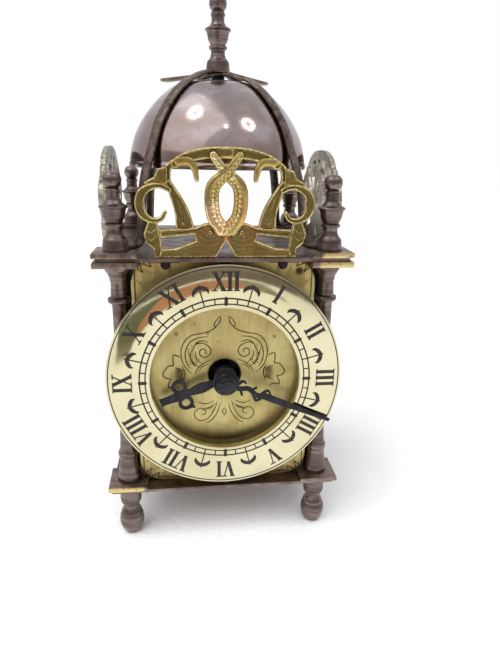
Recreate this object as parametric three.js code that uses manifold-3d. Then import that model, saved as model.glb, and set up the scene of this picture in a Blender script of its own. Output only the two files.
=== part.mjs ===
// A small table lantern clock: four turned columns between two square plates, a bell held over
// them by two bent straps, three pierced frets, a chapter ring, and a key-wound lever movement.
// Millimetres, +Z up. The origin lies on the floor, on the axis of the clock. The dial faces -Y.

import * as THREE from 'three';
import { mergeVertices } from 'three/addons/utils/BufferGeometryUtils.js';
import Module from 'manifold-3d';

const wasm = await Module();
wasm.setup();

// ---------------------------------------------------------------- driving dimensions

// Frame
const POST = 32.9;                 // the columns stand at x = +-POST, y = +-POST
const PLATE_HALF = 38.4;           // half the side of both square plates
const PAD_HALF = 6.6;              // half the side of the square corner pads
const PLATE_T = 1.2;
const LOWER_PLATE_Z = 18.7;        // underside of the bottom plate
const LOWER_PAD_T = 1.5;
const COLUMN_BOTTOM = LOWER_PLATE_Z + PLATE_T + LOWER_PAD_T;
const COLUMN_TOP = 96.4;
const UNDER_PAD_T = 1.8;
const UPPER_PLATE_Z = COLUMN_TOP + UNDER_PAD_T;
const UPPER_PLATE_TOP = UPPER_PLATE_Z + PLATE_T;
const UPPER_PAD_T = 1.5;
const UPPER_PAD_TOP = UPPER_PLATE_TOP + UPPER_PAD_T;
const SHANK_R = 1.2;               // threaded shanks of the feet and finials
const SHANK_HOLE_R = 1.6;
const SHANK_BORE = 4.0;            // depth of the bores in both ends of a column
const FRAME_SIDES = 8;             // facets round the turned frame parts

// Bell and straps
const BELL_RIM_Z = 124.3;
const BELL_HEIGHT = 27.3;
const BELL_WALL = 1.3;
const STRAP_WIDTH = 3.6;
const STRAP_T = 1.0;
const STRAP_TOP_Z = 155.4;
const FINIAL_HEIGHT = 21.8;
const STRAP_FOOT_S = POST * Math.SQRT2 + 2.6;

// Frets
const FRET_T = 1.6;
const FRET_INSET = 0.2;            // from the plate's edge to the fret's outer face
const FRET_BASE_Z = UPPER_PLATE_TOP;

// Dial
const DIAL_Z = 59.4;
const DIAL_PLATE_HALF = 29.0;
const DIAL_PLATE_CORNER = 8.0;
const DIAL_PLATE_FRONT = -33.0;
const DIAL_PLATE_T = 1.2;
const DIAL_HOLE_R = 5.2;
const RING_R = 38.1;
const RING_HOLE_R = 24.3;
const RING_FRONT = -38.4;
const RING_T = 2.2;
const RING_FOOT_R = 31.0;          // the ring's four feet stand on this circle
const DIAL_SCREW_X = 18.3;

// Hands, at about nineteen minutes past eight
const MINUTES_SHOWN = 18.9;
const HOURS_SHOWN = 8 + MINUTES_SHOWN / 60;
const HAND_T = 0.6;
const HOUR_HAND_FRONT = -37.3;
const HOUR_HAND_LENGTH = 22.6;
const MINUTE_HAND_FRONT = -39.9;
const MINUTE_HAND_LENGTH = 38.2;
const NUT_R = 4.2;
const NUT_HEIGHT = 2.9;

// Panels that close the sides and the back
const PANEL_T = 0.8;
const PANEL_HALF = 28.4;
const PANEL_INNER = 31.4;
const PANEL_GAP = 0.1;

// Movement
const MOVEMENT_FRONT = -17.0;      // front face of the movement's front plate
const MOVEMENT_REAR = 8.4;         // rear face of its rear plate
const MOVEMENT_PLATE_T = 1.4;
const MOVEMENT_HALF = 25.0;
const MOVEMENT_LOW_Z = 24.0;
const MOVEMENT_HIGH_Z = 91.0;
const ARBOR_R = 0.8;
const PIVOT_R = 0.4;
const PIVOT_HOLE_R = 0.65;
const CENTRE_ARBOR_R = 1.2;
const CANNON_R = 2.0;
const CANNON_BORE_R = 1.55;
const HOUR_PIPE_R = 3.0;
const HOUR_PIPE_BORE_R = 2.4;
const WHEEL_T = 0.9;
const PINION_T = 2.4;
const KEY_END = NUT_HEIGHT - MINUTE_HAND_FRONT;   // the key reaches as far back as the nut does forward
const KNOB_R = 5.2;
const SLACK = 0.3;                 // between an arbor and what turns on it or is fixed to it
const ROUND = 12;                  // facets round arbors, pins and small holes

// Front faces of the wheels, from the dial backwards
const HOUR_WHEEL_Y = -24.4;
const MINUTE_WHEEL_Y = -21.0;
const MINUTE_STUD_END = -26.4;
const CENTRE_WHEEL_Y = -14.6;
const CENTRE_PINION_Y = -12.6;
const BARREL_FLANGE_Y = -12.0;
const BARREL_REAR_Y = 3.2;
const BARREL_R = 13.0;
const THIRD_WHEEL_Y = -10.8;
const FOURTH_WHEEL_Y = -7.4;
const ESCAPE_WHEEL_Y = -4.6;
const BALANCE_Y = -2.6;
const HAIRSPRING_Y = 1.4;
const RATCHET_Y = 4.6;
const WHEEL_BORE = ARBOR_R + SLACK;

const INNER_FRONT = MOVEMENT_FRONT + MOVEMENT_PLATE_T;
const INNER_REAR = MOVEMENT_REAR - MOVEMENT_PLATE_T;

// Gear pairs: teeth of the wheel, leaves of the pinion, module
const BARREL_MESH = { wheel: 48, pinion: 8, module: 0.62 };
const CENTRE_MESH = { wheel: 48, pinion: 6, module: 0.5 };
const THIRD_MESH = { wheel: 45, pinion: 6, module: 0.42 };
const FOURTH_MESH = { wheel: 48, pinion: 6, module: 0.38 };
const CANNON_MESH = { wheel: 30, pinion: 10, module: 0.48 };
const HOUR_MESH = { wheel: 32, pinion: 8, module: 0.48 };
const ESCAPE_TEETH = 15;
const ESCAPE_R = 5.4;

// ---------------------------------------------------------------- materials

function metal(name, colour, roughness, metalness = 1.0) {
  return new THREE.MeshStandardMaterial({ name, color: colour, roughness, metalness });
}

const MATERIALS = {
  bronze: metal('tarnished_bronze', 0x7d6a60, 0.42),
  bell: metal('bell_metal', 0xa5928c, 0.25),
  cast: metal('cast_brass', 0xb99c4c, 0.38),
  dial: metal('matt_dial_brass', 0xb79e5c, 0.55),
  ring: metal('polished_ring_brass', 0xe6dca6, 0.18),
  black: metal('blackened_steel', 0x1c1d22, 0.5, 0.6),
  brass: metal('movement_brass', 0xc9a84e, 0.3),
  steel: metal('arbor_steel', 0x9a9da2, 0.3),
  spring: metal('blued_spring_steel', 0x3b4670, 0.3),
};

// ---------------------------------------------------------------- geometry helpers

const clock = new THREE.Group();

function addPart(name, geometry, material) {
  const mesh = new THREE.Mesh(geometry, material);
  mesh.name = name;
  clock.add(mesh);
  return mesh;
}

function toSolid(geometry) {
  const bare = geometry.clone();
  bare.deleteAttribute('normal');
  bare.deleteAttribute('uv');
  const merged = mergeVertices(bare, 1e-4);
  const vertProperties = new Float32Array(merged.attributes.position.array);
  const triVerts = new Uint32Array(merged.index.array);
  return new wasm.Manifold(new wasm.Mesh({ numProp: 3, vertProperties, triVerts }));
}

function toGeometry(solid) {
  const mesh = solid.getMesh();
  const geometry = new THREE.BufferGeometry();
  geometry.setAttribute('position', new THREE.BufferAttribute(mesh.vertProperties, 3));
  geometry.setIndex(new THREE.BufferAttribute(mesh.triVerts, 1));
  geometry.computeVertexNormals();
  return geometry;
}

function join(geometries) {
  return toGeometry(geometries.map(toSolid).reduce((sum, next) => sum.add(next)));
}

function cut(geometry, cutters) {
  const rest = cutters.map(toSolid).reduce((solid, next) => solid.subtract(next), toSolid(geometry));
  return toGeometry(rest);
}

function polar(radius, angle, cx = 0, cy = 0) {
  return new THREE.Vector2(cx + radius * Math.cos(angle), cy + radius * Math.sin(angle));
}

function circlePoints(cx, cy, radius, sides) {
  const points = [];
  for (let i = 0; i < sides; i++) {
    points.push(polar(radius, (2 * Math.PI * i) / sides, cx, cy));
  }
  return points;
}

function outline(points, holes = []) {
  const shape = new THREE.Shape(points.map((p) => (Array.isArray(p) ? new THREE.Vector2(...p) : p)));
  shape.holes = holes.map((hole) => new THREE.Path(hole));
  return shape;
}

// A plate in the XY plane between two heights
function slab(shape, low, high) {
  const geometry = new THREE.ExtrudeGeometry(shape, { depth: high - low, bevelEnabled: false });
  return geometry.translate(0, 0, low);
}

// A plate parallel to the dial: the shape's x and y become x and z, between two values of y
function panel(shape, front, rear) {
  const geometry = new THREE.ExtrudeGeometry(shape, { depth: rear - front, bevelEnabled: false });
  return geometry.rotateX(Math.PI / 2).translate(0, rear, 0);
}

// A turned solid from [radius, distance along the axis] pairs, in either order
function lathe(profile, sides) {
  const points = profile.map(([radius, along]) => new THREE.Vector2(radius, along));
  if (THREE.ShapeUtils.area(points) < 0) {
    points.reverse();
  }
  return new THREE.LatheGeometry(points, sides);
}

// A solid turned about a vertical axis
function turned(profile, sides = FRAME_SIDES) {
  return lathe(profile, sides).rotateX(Math.PI / 2);
}

// A solid turned about an axis parallel to Y, at (x, z)
function arbor(profile, x, z, sides = ROUND) {
  return lathe(profile, sides).translate(x, 0, z);
}

function roundedRectangle(halfX, low, high, corner, steps = 5) {
  const points = [];
  const centres = [[halfX - corner, high - corner], [corner - halfX, high - corner],
    [corner - halfX, low + corner], [halfX - corner, low + corner]];
  centres.forEach(([cx, cy], quarter) => {
    for (let i = 0; i <= steps; i++) {
      points.push(polar(corner, (Math.PI / 2) * (quarter + i / steps), cx, cy));
    }
  });
  return points;
}

// A strip of changing width along a smooth line through [x, z, width] points
function ribbon(nodes, steps) {
  const line = new THREE.CatmullRomCurve3(nodes.map(([x, z, w]) => new THREE.Vector3(x, z, w)));
  const left = [];
  const right = [];
  for (let i = 0; i <= steps; i++) {
    const at = line.getPoint(i / steps);
    const along = line.getTangent(i / steps);
    const across = new THREE.Vector2(-along.y, along.x).normalize().multiplyScalar(at.z / 2);
    left.push(new THREE.Vector2(at.x + across.x, at.y + across.y));
    right.push(new THREE.Vector2(at.x - across.x, at.y - across.y));
  }
  return left.concat(right.reverse());
}

// ---------------------------------------------------------------- frame

const CORNERS = [
  { name: 'front_left', x: -POST, y: -POST },
  { name: 'front_right', x: POST, y: -POST },
  { name: 'rear_left', x: -POST, y: POST },
  { name: 'rear_right', x: POST, y: POST },
];

function cornerHoles(radius) {
  return CORNERS.map(({ x, y }) => circlePoints(x, y, radius, FRAME_SIDES));
}

function squarePlate(low) {
  const h = PLATE_HALF;
  const square = outline([[-h, -h], [h, -h], [h, h], [-h, h]], cornerHoles(SHANK_HOLE_R));
  return slab(square, low, low + PLATE_T);
}

function cornerPad(x, y, low, high) {
  const h = PAD_HALF;
  const square = [[x - h, y - h], [x + h, y - h], [x + h, y + h], [x - h, y + h]];
  return slab(outline(square, [circlePoints(x, y, SHANK_HOLE_R, FRAME_SIDES)]), low, high);
}

function makeFrame() {
  const lowerTop = LOWER_PLATE_Z + PLATE_T;
  const lowerPads = CORNERS.map(({ x, y }) => cornerPad(x, y, lowerTop, COLUMN_BOTTOM));
  addPart('bottom_plate', join([squarePlate(LOWER_PLATE_Z), ...lowerPads]), MATERIALS.bronze);

  const underPads = CORNERS.map(({ x, y }) => cornerPad(x, y, COLUMN_TOP, UPPER_PLATE_Z));
  const overPads = CORNERS.map(({ x, y }) => cornerPad(x, y, UPPER_PLATE_TOP, UPPER_PAD_TOP));
  addPart('top_plate', join([squarePlate(UPPER_PLATE_Z), ...underPads, ...overPads]), MATERIALS.bronze);

  const shankTop = COLUMN_BOTTOM + SHANK_BORE - 0.5;
  const foot = [[0, 0], [1.9, 0], [3.4, 1.5], [4.15, 3.6], [4.1, 6.0], [3.5, 8.7], [2.6, 10.1],
    [2.7, 11.0], [3.4, 12.5], [3.67, 14.4], [3.67, LOWER_PLATE_Z], [SHANK_R, LOWER_PLATE_Z],
    [SHANK_R, shankTop], [0, shankTop]];

  const boreLow = COLUMN_BOTTOM + SHANK_BORE;
  const boreHigh = COLUMN_TOP - SHANK_BORE;
  const column = [[0, boreLow], [SHANK_HOLE_R, boreLow], [SHANK_HOLE_R, COLUMN_BOTTOM],
    [3.9, COLUMN_BOTTOM], [3.9, 23.1], [3.3, 26.3], [3.05, 29.4], [3.25, 31.9], [2.5, 34.0],
    [2.35, 38.7], [2.15, 83.5], [3.3, 85.1], [3.3, 86.2], [2.3, 87.2], [2.3, 91.6], [3.3, 94.2],
    [3.8, 95.3], [3.8, COLUMN_TOP], [SHANK_HOLE_R, COLUMN_TOP], [SHANK_HOLE_R, boreHigh],
    [0, boreHigh]];

  const finialBase = UPPER_PAD_TOP + STRAP_T;
  const shankEnd = COLUMN_TOP - SHANK_BORE + 0.5;
  const shank = [[0, shankEnd], [SHANK_R, shankEnd], [SHANK_R, finialBase]];

  CORNERS.forEach(({ name, x, y }) => {
    addPart(`foot_${name}`, turned(foot), MATERIALS.bronze).position.set(x, y, 0);
    addPart(`column_${name}`, turned(column), MATERIALS.bronze).position.set(x, y, 0);
    const finial = turned([...shank, ...finialProfile(finialBase)]);
    addPart(`finial_${name}`, finial, MATERIALS.bronze).position.set(x, y, 0);
  });
}

// Turned outline of a finial above its seat, from the seat to the tip
function finialProfile(seat) {
  return [[3.9, 0], [3.2, 2.2], [2.4, 4.1], [2.4, 5.8], [2.9, 6.5], [2.5, 7.3], [3.3, 9.2],
    [4.15, 11.4], [4.15, 12.0], [2.4, 13.0], [2.1, 15.0], [1.6, 16.7], [2.7, 18.2], [2.75, 19.9],
    [1.9, 21.3], [0, FINIAL_HEIGHT]].map(([r, h]) => [r, seat + h]);
}

// ---------------------------------------------------------------- bell

// The bell's outline as radius and height, from the rim to the hole in its crown
const BELL_OUTLINE = [[30.3, 0], [29.5, 5.9], [28.1, 10.3], [25.8, 14.6], [22.7, 18.7], [19.2, 22.3],
  [15.3, 25.2], [11.2, 26.8], [6.0, 27.25], [SHANK_HOLE_R, BELL_HEIGHT]];

// One arm of a strap, down the bell from the crown to its foot: its outer line, as distance from
// the axis and height
const STRAP_ARM = [[5.6, 154.9], [9.2, 153.7], [12.6, 152.2], [16.3, 150.3], [20.1, 147.5],
  [23.7, 143.8], [26.9, 139.5], [29.3, 135.0], [31.0, 130.6], [33.0, 126.0], [34.6, 121.5],
  [35.9, 115.0], [36.6, 107.5], [37.6, UPPER_PAD_TOP + STRAP_T]];
const TAIL_END = [26.0, 154.3];    // blunt end of the short bar at the back of each crown

function offsetLine(points, distance) {
  return points.map(([s, z], i) => {
    const before = points[Math.max(i - 1, 0)];
    const after = points[Math.min(i + 1, points.length - 1)];
    const along = new THREE.Vector2(after[0] - before[0], after[1] - before[1]).normalize();
    return [s + along.y * distance, z - along.x * distance];
  });
}

// One strap: an arch in a vertical plane through the axis, with a short bar running back from its
// crown, turned to the given angle
function strap(angle, crown) {
  const flat = STRAP_WIDTH / 2 + 0.6;
  const drop = STRAP_TOP_Z - crown;
  const arm = STRAP_ARM.map(([s, z], i) => [s, z - (i < 2 ? drop : 0)]);
  const toe = [STRAP_FOOT_S, UPPER_PAD_TOP + STRAP_T];
  const outer = [[0, crown], [flat, crown], ...arm, toe];
  const inner = offsetLine(outer, STRAP_T);
  inner[0] = [0, crown - STRAP_T];
  inner[1] = [flat, crown - STRAP_T];
  inner[inner.length - 2][1] = UPPER_PAD_TOP;
  inner[inner.length - 1] = [STRAP_FOOT_S, UPPER_PAD_TOP];
  const mirror = ([s, z]) => [-s, z];
  const points = [...outer.slice(1).reverse().map(mirror), ...outer, ...inner.slice(1).reverse(),
    inner[0], ...inner.slice(1).map(mirror)];
  const arch = panel(outline(points), -STRAP_WIDTH / 2, STRAP_WIDTH / 2);
  const tailTop = [[0, crown], [flat, crown], TAIL_END];
  const tail = panel(outline([...tailTop, ...tailTop.map(([s, z]) => [s, z - STRAP_T]).reverse()]),
    -STRAP_WIDTH / 2, STRAP_WIDTH / 2);
  const foot = POST * Math.SQRT2;
  const drills = [[-foot, UPPER_PAD_TOP], [0, crown - STRAP_T], [foot, UPPER_PAD_TOP]].map(([s, z]) =>
    turned([[0, z - 1], [SHANK_HOLE_R, z - 1], [SHANK_HOLE_R, z + STRAP_T + 1], [0, z + STRAP_T + 1]])
      .translate(s, 0, 0));
  return cut(join([arch, tail]), drills).rotateZ(angle);
}

function bellProfile() {
  const outer = BELL_OUTLINE.map(([r, h]) => [r, BELL_RIM_Z + h]);
  const inner = offsetLine(outer, -BELL_WALL);
  inner[0] = [outer[0][0] - BELL_WALL, BELL_RIM_Z];
  inner[inner.length - 1] = [SHANK_HOLE_R, BELL_RIM_Z + BELL_HEIGHT - BELL_WALL];
  return [...outer, ...inner.reverse(), outer[0]];
}

function makeBell() {
  const crownLow = STRAP_TOP_Z - STRAP_T;
  addPart('bell_strap_a', strap(Math.PI / 4, STRAP_TOP_Z), MATERIALS.bronze);
  addPart('bell_strap_b', strap((3 * Math.PI) / 4, crownLow), MATERIALS.bronze);

  const bellTop = BELL_RIM_Z + BELL_HEIGHT;
  addPart('bell', turned(bellProfile(), 24), MATERIALS.bell);

  const spacerTop = crownLow - STRAP_T;
  const spacerR = 2.2;
  const spacer = [[SHANK_HOLE_R, bellTop], [spacerR, bellTop], [spacerR, spacerTop],
    [SHANK_HOLE_R, spacerTop], [SHANK_HOLE_R, bellTop]];
  addPart('bell_spacer', turned(spacer), MATERIALS.black);

  const nutTop = bellTop - BELL_WALL - 0.4;
  const nutLow = nutTop - 2.4;
  const nutR = 3.2;
  const nut = [[SHANK_HOLE_R, nutLow], [nutR, nutLow], [nutR, nutTop], [SHANK_HOLE_R, nutTop],
    [SHANK_HOLE_R, nutLow]];
  addPart('bell_nut', turned(nut, 6), MATERIALS.steel);

  const shankEnd = nutLow - 1.0;
  const shank = [[0, shankEnd], [SHANK_R, shankEnd], [SHANK_R, STRAP_TOP_Z]];
  addPart('top_finial', turned([...shank, ...finialProfile(STRAP_TOP_Z)]), MATERIALS.bronze);
}

// ---------------------------------------------------------------- frets

// Half of the pierced pattern, as strips [x, height above the plate, width] and filled outlines:
// two sea beasts whose bodies cross, under an arch that ends in scrolls
const FRET_STRIPS = [
  { steps: 3, nodes: [[-0.6, 29.9, 3.2], [6, 29.6, 3.1], [11.5, 28.3, 2.9], [14.6, 26.6, 2.4]] },
  { steps: 3, nodes: [[13.2, 27.9, 1.8], [16.4, 25.6, 2.0], [16.9, 22.6, 2.0], [16.4, 20.4, 2.0]] },
  { steps: 3, nodes: [[16.6, 21.4, 1.8], [14.7, 17.6, 3.0], [12.9, 12.8, 4.2], [12.2, 7.6, 5.4]] },
  { steps: 3, nodes: [[13.6, 27.4, 2.6], [10.8, 27.3, 2.4], [9.2, 25.6, 2.0], [8.5, 22.4, 1.2]] },
  { steps: 7, nodes: [[16.4, 19.6, 1.4], [20.0, 20.7, 1.6], [23.9, 18.9, 2.5], [25.0, 15.8, 2.8],
    [24.1, 12.6, 2.4], [21.6, 10.9, 1.7], [19.0, 11.3, 1.5], [17.7, 13.2, 1.1]] },
  { steps: 4, nodes: [[-3.8, 29.0, 2.4], [-0.4, 24.6, 3.0], [3.5, 21.0, 4.0], [4.3, 16.8, 4.2],
    [3.6, 12.0, 4.2], [1.4, 8.6, 4.4]] },
];
const FRET_FILLS = [
  [[16.9, 21.0], [22.2, 20.6], [23.6, 21.4], [20.6, 23.0], [19.6, 25.2], [16.8, 26.0]],
  [[22.6, 11.2], [24.2, 7.0], [23.4, 4.2], [21.4, 2.6], [21.2, 0], [18.6, 0], [19.2, 5.0],
    [20.2, 10.6]],
  [[19.6, 8.3], [9.4, 8.8], [6.0, 10.2], [1.0, 9.8], [0.0, 9.2], [0.0, 5.2], [3.0, 0], [20.0, 0],
    [19.4, 2.5], [14.8, 2.8], [9.0, 5.0], [9.3, 6.9], [19.3, 5.8]],
];

function fretPattern() {
  const pieces = [];
  [1, -1].forEach((side) => {
    const flip = (points) => {
      const flipped = points.map((p) => new THREE.Vector2(p.x * side, p.y));
      return side > 0 ? flipped : flipped.reverse();
    };
    FRET_STRIPS.forEach(({ nodes, steps }) => pieces.push(flip(ribbon(nodes, steps))));
    FRET_FILLS.forEach((fill) => pieces.push(flip(fill.map(([x, z]) => new THREE.Vector2(x, z)))));
  });
  return join(pieces.map((points) => panel(outline(points), 0, FRET_T)));
}

function makeFrets() {
  const pattern = fretPattern();
  const face = PLATE_HALF - FRET_INSET;
  const places = [['fret_front', 0], ['fret_right', Math.PI / 2], ['fret_left', -Math.PI / 2]];
  places.forEach(([name, turn]) => {
    const fret = pattern.clone().translate(0, -face, FRET_BASE_Z).rotateZ(turn);
    addPart(name, fret, MATERIALS.cast);
  });
}

// ---------------------------------------------------------------- dial and hands

function makeDial() {
  const rear = DIAL_PLATE_FRONT + DIAL_PLATE_T;
  const low = LOWER_PLATE_Z + PLATE_T;
  const border = roundedRectangle(DIAL_PLATE_HALF, low, UPPER_PLATE_Z, DIAL_PLATE_CORNER);
  const screwZ = UPPER_PLATE_Z - 1.8;
  const holes = [circlePoints(0, DIAL_Z, DIAL_HOLE_R, 20)];
  [-1, 1].forEach((side) => holes.push(circlePoints(side * DIAL_SCREW_X, screwZ, 1.1, 8)));
  addPart('dial_plate', panel(outline(border, holes), DIAL_PLATE_FRONT, rear), MATERIALS.dial);

  const ringRear = RING_FRONT + RING_T;
  const ring = arbor([[RING_HOLE_R, RING_FRONT], [RING_R, RING_FRONT], [RING_R, ringRear],
    [RING_HOLE_R, ringRear], [RING_HOLE_R, RING_FRONT]], 0, 0, 48);
  const feet = [1, 3, 5, 7].map((eighth) => {
    const at = polar(RING_FOOT_R, (eighth * Math.PI) / 4);
    return arbor([[0, DIAL_PLATE_FRONT], [1.6, DIAL_PLATE_FRONT], [1.6, ringRear - 0.5],
      [0, ringRear - 0.5]], at.x, at.y, 8);
  });
  addPart('chapter_ring', join([ring, ...feet]), MATERIALS.ring).position.set(0, 0, DIAL_Z);

  [['dial_screw_left', -1], ['dial_screw_right', 1]].forEach(([name, side]) => {
    const head = DIAL_PLATE_FRONT - 0.8;
    const screw = arbor([[0, rear + 2.2], [0.8, rear + 2.2], [0.8, DIAL_PLATE_FRONT],
      [1.5, DIAL_PLATE_FRONT], [1.5, head], [0, head]], side * DIAL_SCREW_X, screwZ, 8);
    addPart(name, screw, MATERIALS.black);
  });
}

// Hand outlines lie along +Z from the hand's centre
function makeHands() {
  const hourFills = [
    ribbon([[0, 2.6, 2.4], [0, 8.0, 3.4], [0, 12.6, 2.0]], 4),
    [[-1.3, 12.2], [1.3, 12.2], [1.7, 16.0], [1.3, 20.0], [1.3, HOUR_HAND_LENGTH],
      [-1.3, HOUR_HAND_LENGTH], [-1.3, 20.0], [-1.7, 16.0]],
    ribbon([[0.4, 13.0, 1.1], [3.6, 13.0, 1.1], [4.7, 15.4, 1.1], [3.2, 17.6, 1.1],
      [0.4, 17.2, 1.1]], 7),
    ribbon([[-0.4, 17.2, 1.1], [-3.2, 17.6, 1.1], [-4.7, 15.4, 1.1], [-3.6, 13.0, 1.1],
      [-0.4, 13.0, 1.1]], 7),
  ];
  const hourRear = HOUR_HAND_FRONT + HAND_T;
  const hourBore = circlePoints(0, 0, HOUR_PIPE_R, ROUND);
  const bossRear = DIAL_PLATE_FRONT - 0.6;
  const boss = panel(outline(circlePoints(0, 0, 3.7, 20)), HOUR_HAND_FRONT, bossRear);
  const hourBlades = hourFills.map((p) => panel(outline(p), HOUR_HAND_FRONT, hourRear));
  const hourDrill = panel(outline(hourBore), HOUR_HAND_FRONT - 1, bossRear + 1);
  const hour = cut(join([boss, ...hourBlades]), [hourDrill]).rotateY(2 * Math.PI * (HOURS_SHOWN / 12));
  addPart('hour_hand', hour, MATERIALS.black).position.set(0, 0, DIAL_Z);

  const minuteFills = [
    ribbon([[0, 2.4, 2.2], [0.9, 5.0, 1.9], [-0.9, 8.0, 1.7], [0.9, 11.2, 1.8], [0, 14.0, 2.2]], 9),
    [[-1.3, 3.8], [-2.6, 5.6], [-1.0, 5.8], [0, 4.6]],
    [[1.0, 9.6], [2.4, 12.0], [1.2, 13.0], [0, 11.6]],
    [[-0.9, 12.6], [-2.2, 14.6], [-0.9, 15.6], [0.3, 14.2]],
    [[-1.1, 13.4], [1.1, 13.4], [1.15, 17.0], [0.55, MINUTE_HAND_LENGTH],
      [-0.55, MINUTE_HAND_LENGTH], [-1.15, 17.0]],
  ];
  const minuteRear = MINUTE_HAND_FRONT + HAND_T;
  const hub = panel(outline(circlePoints(0, 0, 3.2, 16)), MINUTE_HAND_FRONT, minuteRear);
  const blades = minuteFills.map((p) => panel(outline(p), MINUTE_HAND_FRONT, minuteRear));
  const nutBore = CENTRE_ARBOR_R + SLACK;
  const eye = outline(circlePoints(0, 0, nutBore, ROUND));
  const minuteDrill = panel(eye, MINUTE_HAND_FRONT - 1, minuteRear + 1);
  const minute = cut(join([hub, ...blades]), [minuteDrill]).rotateY(2 * Math.PI * (MINUTES_SHOWN / 60));
  addPart('minute_hand', minute, MATERIALS.black).position.set(0, 0, DIAL_Z);

  const face = MINUTE_HAND_FRONT;
  const nut = [[0, face - 1.5], [nutBore, face - 1.5], [nutBore, face], [NUT_R, face],
    [NUT_R, face - 0.9], [3.6, face - 1.9], [2.2, face - 2.6], [0, face - NUT_HEIGHT]];
  addPart('hand_nut', arbor(nut, 0, DIAL_Z, 16), MATERIALS.black);
}

// ---------------------------------------------------------------- panels

// A sheet between two columns, notched round the corner pads
function caseSheet(holes = []) {
  const low = LOWER_PLATE_Z + PLATE_T + PANEL_GAP;
  const high = UPPER_PLATE_Z - PANEL_GAP;
  const notchLow = COLUMN_BOTTOM + PANEL_GAP;
  const notchHigh = COLUMN_TOP - PANEL_GAP;
  const wide = PANEL_HALF;
  const narrow = POST - PAD_HALF - PANEL_GAP;
  const right = [[narrow, low], [narrow, notchLow], [wide, notchLow], [wide, notchHigh],
    [narrow, notchHigh], [narrow, high]];
  const left = right.map(([x, z]) => [-x, z]).reverse();
  return panel(outline([...right, ...left], holes), PANEL_INNER, PANEL_INNER + PANEL_T);
}

function makePanels() {
  addPart('side_panel_left', caseSheet().rotateZ(Math.PI / 2), MATERIALS.bronze);
  addPart('side_panel_right', caseSheet().rotateZ(-Math.PI / 2), MATERIALS.bronze);
  const knobHole = circlePoints(CENTRE.x, CENTRE.z, 2.4, ROUND);
  const keyHole = circlePoints(AXES.barrel.x, AXES.barrel.z, 3.6, 16);
  addPart('back_panel', caseSheet([knobHole, keyHole]), MATERIALS.bronze);
}

// ---------------------------------------------------------------- movement layout

function pitchRadius(teeth, module) {
  return (teeth * module) / 2;
}

function centreDistance({ wheel, pinion, module }) {
  return pitchRadius(wheel, module) + pitchRadius(pinion, module);
}

// The arbor that is driven by another, placed in a direction given in degrees from +X
function axisFrom(from, distance, degrees) {
  const at = polar(distance, THREE.MathUtils.degToRad(degrees), from.x, from.z);
  return { x: at.x, z: at.y };
}

const CENTRE = { x: 0, z: DIAL_Z };
const THIRD = axisFrom(CENTRE, centreDistance(CENTRE_MESH), 61);
const FOURTH = axisFrom(THIRD, centreDistance(THIRD_MESH), 142);
const ESCAPE = axisFrom(FOURTH, centreDistance(FOURTH_MESH), 155);
const LEVER = axisFrom(ESCAPE, 7.4, 251);
const BALANCE = axisFrom(LEVER, 11.4, 251);
const MINUTE_WHEEL = axisFrom(CENTRE, centreDistance(CANNON_MESH), -30);
const AXES = {
  barrel: axisFrom(CENTRE, centreDistance(BARREL_MESH), -90),
  centre: CENTRE,
  third: THIRD,
  fourth: FOURTH,
  escape: ESCAPE,
  lever: LEVER,
  balance: BALANCE,
  minuteWheel: MINUTE_WHEEL,
};

function direction(from, to) {
  return Math.atan2(to.z - from.z, to.x - from.x);
}

// Pointed teeth with backlash. One tooth points along the angle phase.
function gearOutline(at, teeth, module, phase) {
  const radius = pitchRadius(teeth, module);
  const root = radius - 1.2 * module;
  const tip = radius + 0.72 * module;
  const pitch = (2 * Math.PI) / teeth;
  const points = [];
  for (let i = 0; i < teeth; i++) {
    points.push(polar(tip, phase + i * pitch, at.x, at.z));
    points.push(polar(root, phase + (i + 0.5) * pitch, at.x, at.z));
  }
  return points;
}

// Openings between the arms of a wheel
function armOpenings(at, inner, outer, arms = 4) {
  const openings = [];
  for (let i = 0; i < arms; i++) {
    const middle = ((i + 0.5) * 2 * Math.PI) / arms;
    const spread = Math.PI / arms;
    const points = [polar(inner, middle, at.x, at.z)];
    [-0.75, 0, 0.75].forEach((t) => points.push(polar(outer, middle + t * spread, at.x, at.z)));
    openings.push(points);
  }
  return openings;
}

// A wheel disc: teeth, arms and a bore
function wheel(at, teeth, module, phase, front, thickness, bore) {
  const rim = pitchRadius(teeth, module) - 2.6 * module;
  const holes = [circlePoints(at.x, at.z, bore, ROUND), ...armOpenings(at, bore + 1.6, rim)];
  return panel(outline(gearOutline(at, teeth, module, phase), holes), front, front + thickness);
}

function pinionPhase(mesh, wheelAxis, pinionAxis) {
  return direction(wheelAxis, pinionAxis) + Math.PI + Math.PI / mesh.pinion;
}

// Steel arbor with a pinion and pivots that run in both plates, and a seat for its wheel
function pivotedArbor(at, mesh, wheelAxis, pinionFront) {
  const front = INNER_FRONT + 0.2;
  const rear = INNER_REAR - 0.2;
  const shaft = arbor([[0, MOVEMENT_FRONT], [PIVOT_R, MOVEMENT_FRONT], [PIVOT_R, front],
    [ARBOR_R, front], [ARBOR_R, rear], [PIVOT_R, rear], [PIVOT_R, MOVEMENT_REAR], [0, MOVEMENT_REAR]],
  at.x, at.z);
  if (!mesh) {
    return shaft;
  }
  const leaves = gearOutline(at, mesh.pinion, mesh.module, pinionPhase(mesh, wheelAxis, at));
  return join([shaft, panel(outline(leaves), pinionFront, pinionFront + PINION_T)]);
}

// ---------------------------------------------------------------- movement

function pivotHoles(names, radius) {
  return names.map((name) => circlePoints(AXES[name].x, AXES[name].z, radius, 8));
}

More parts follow.
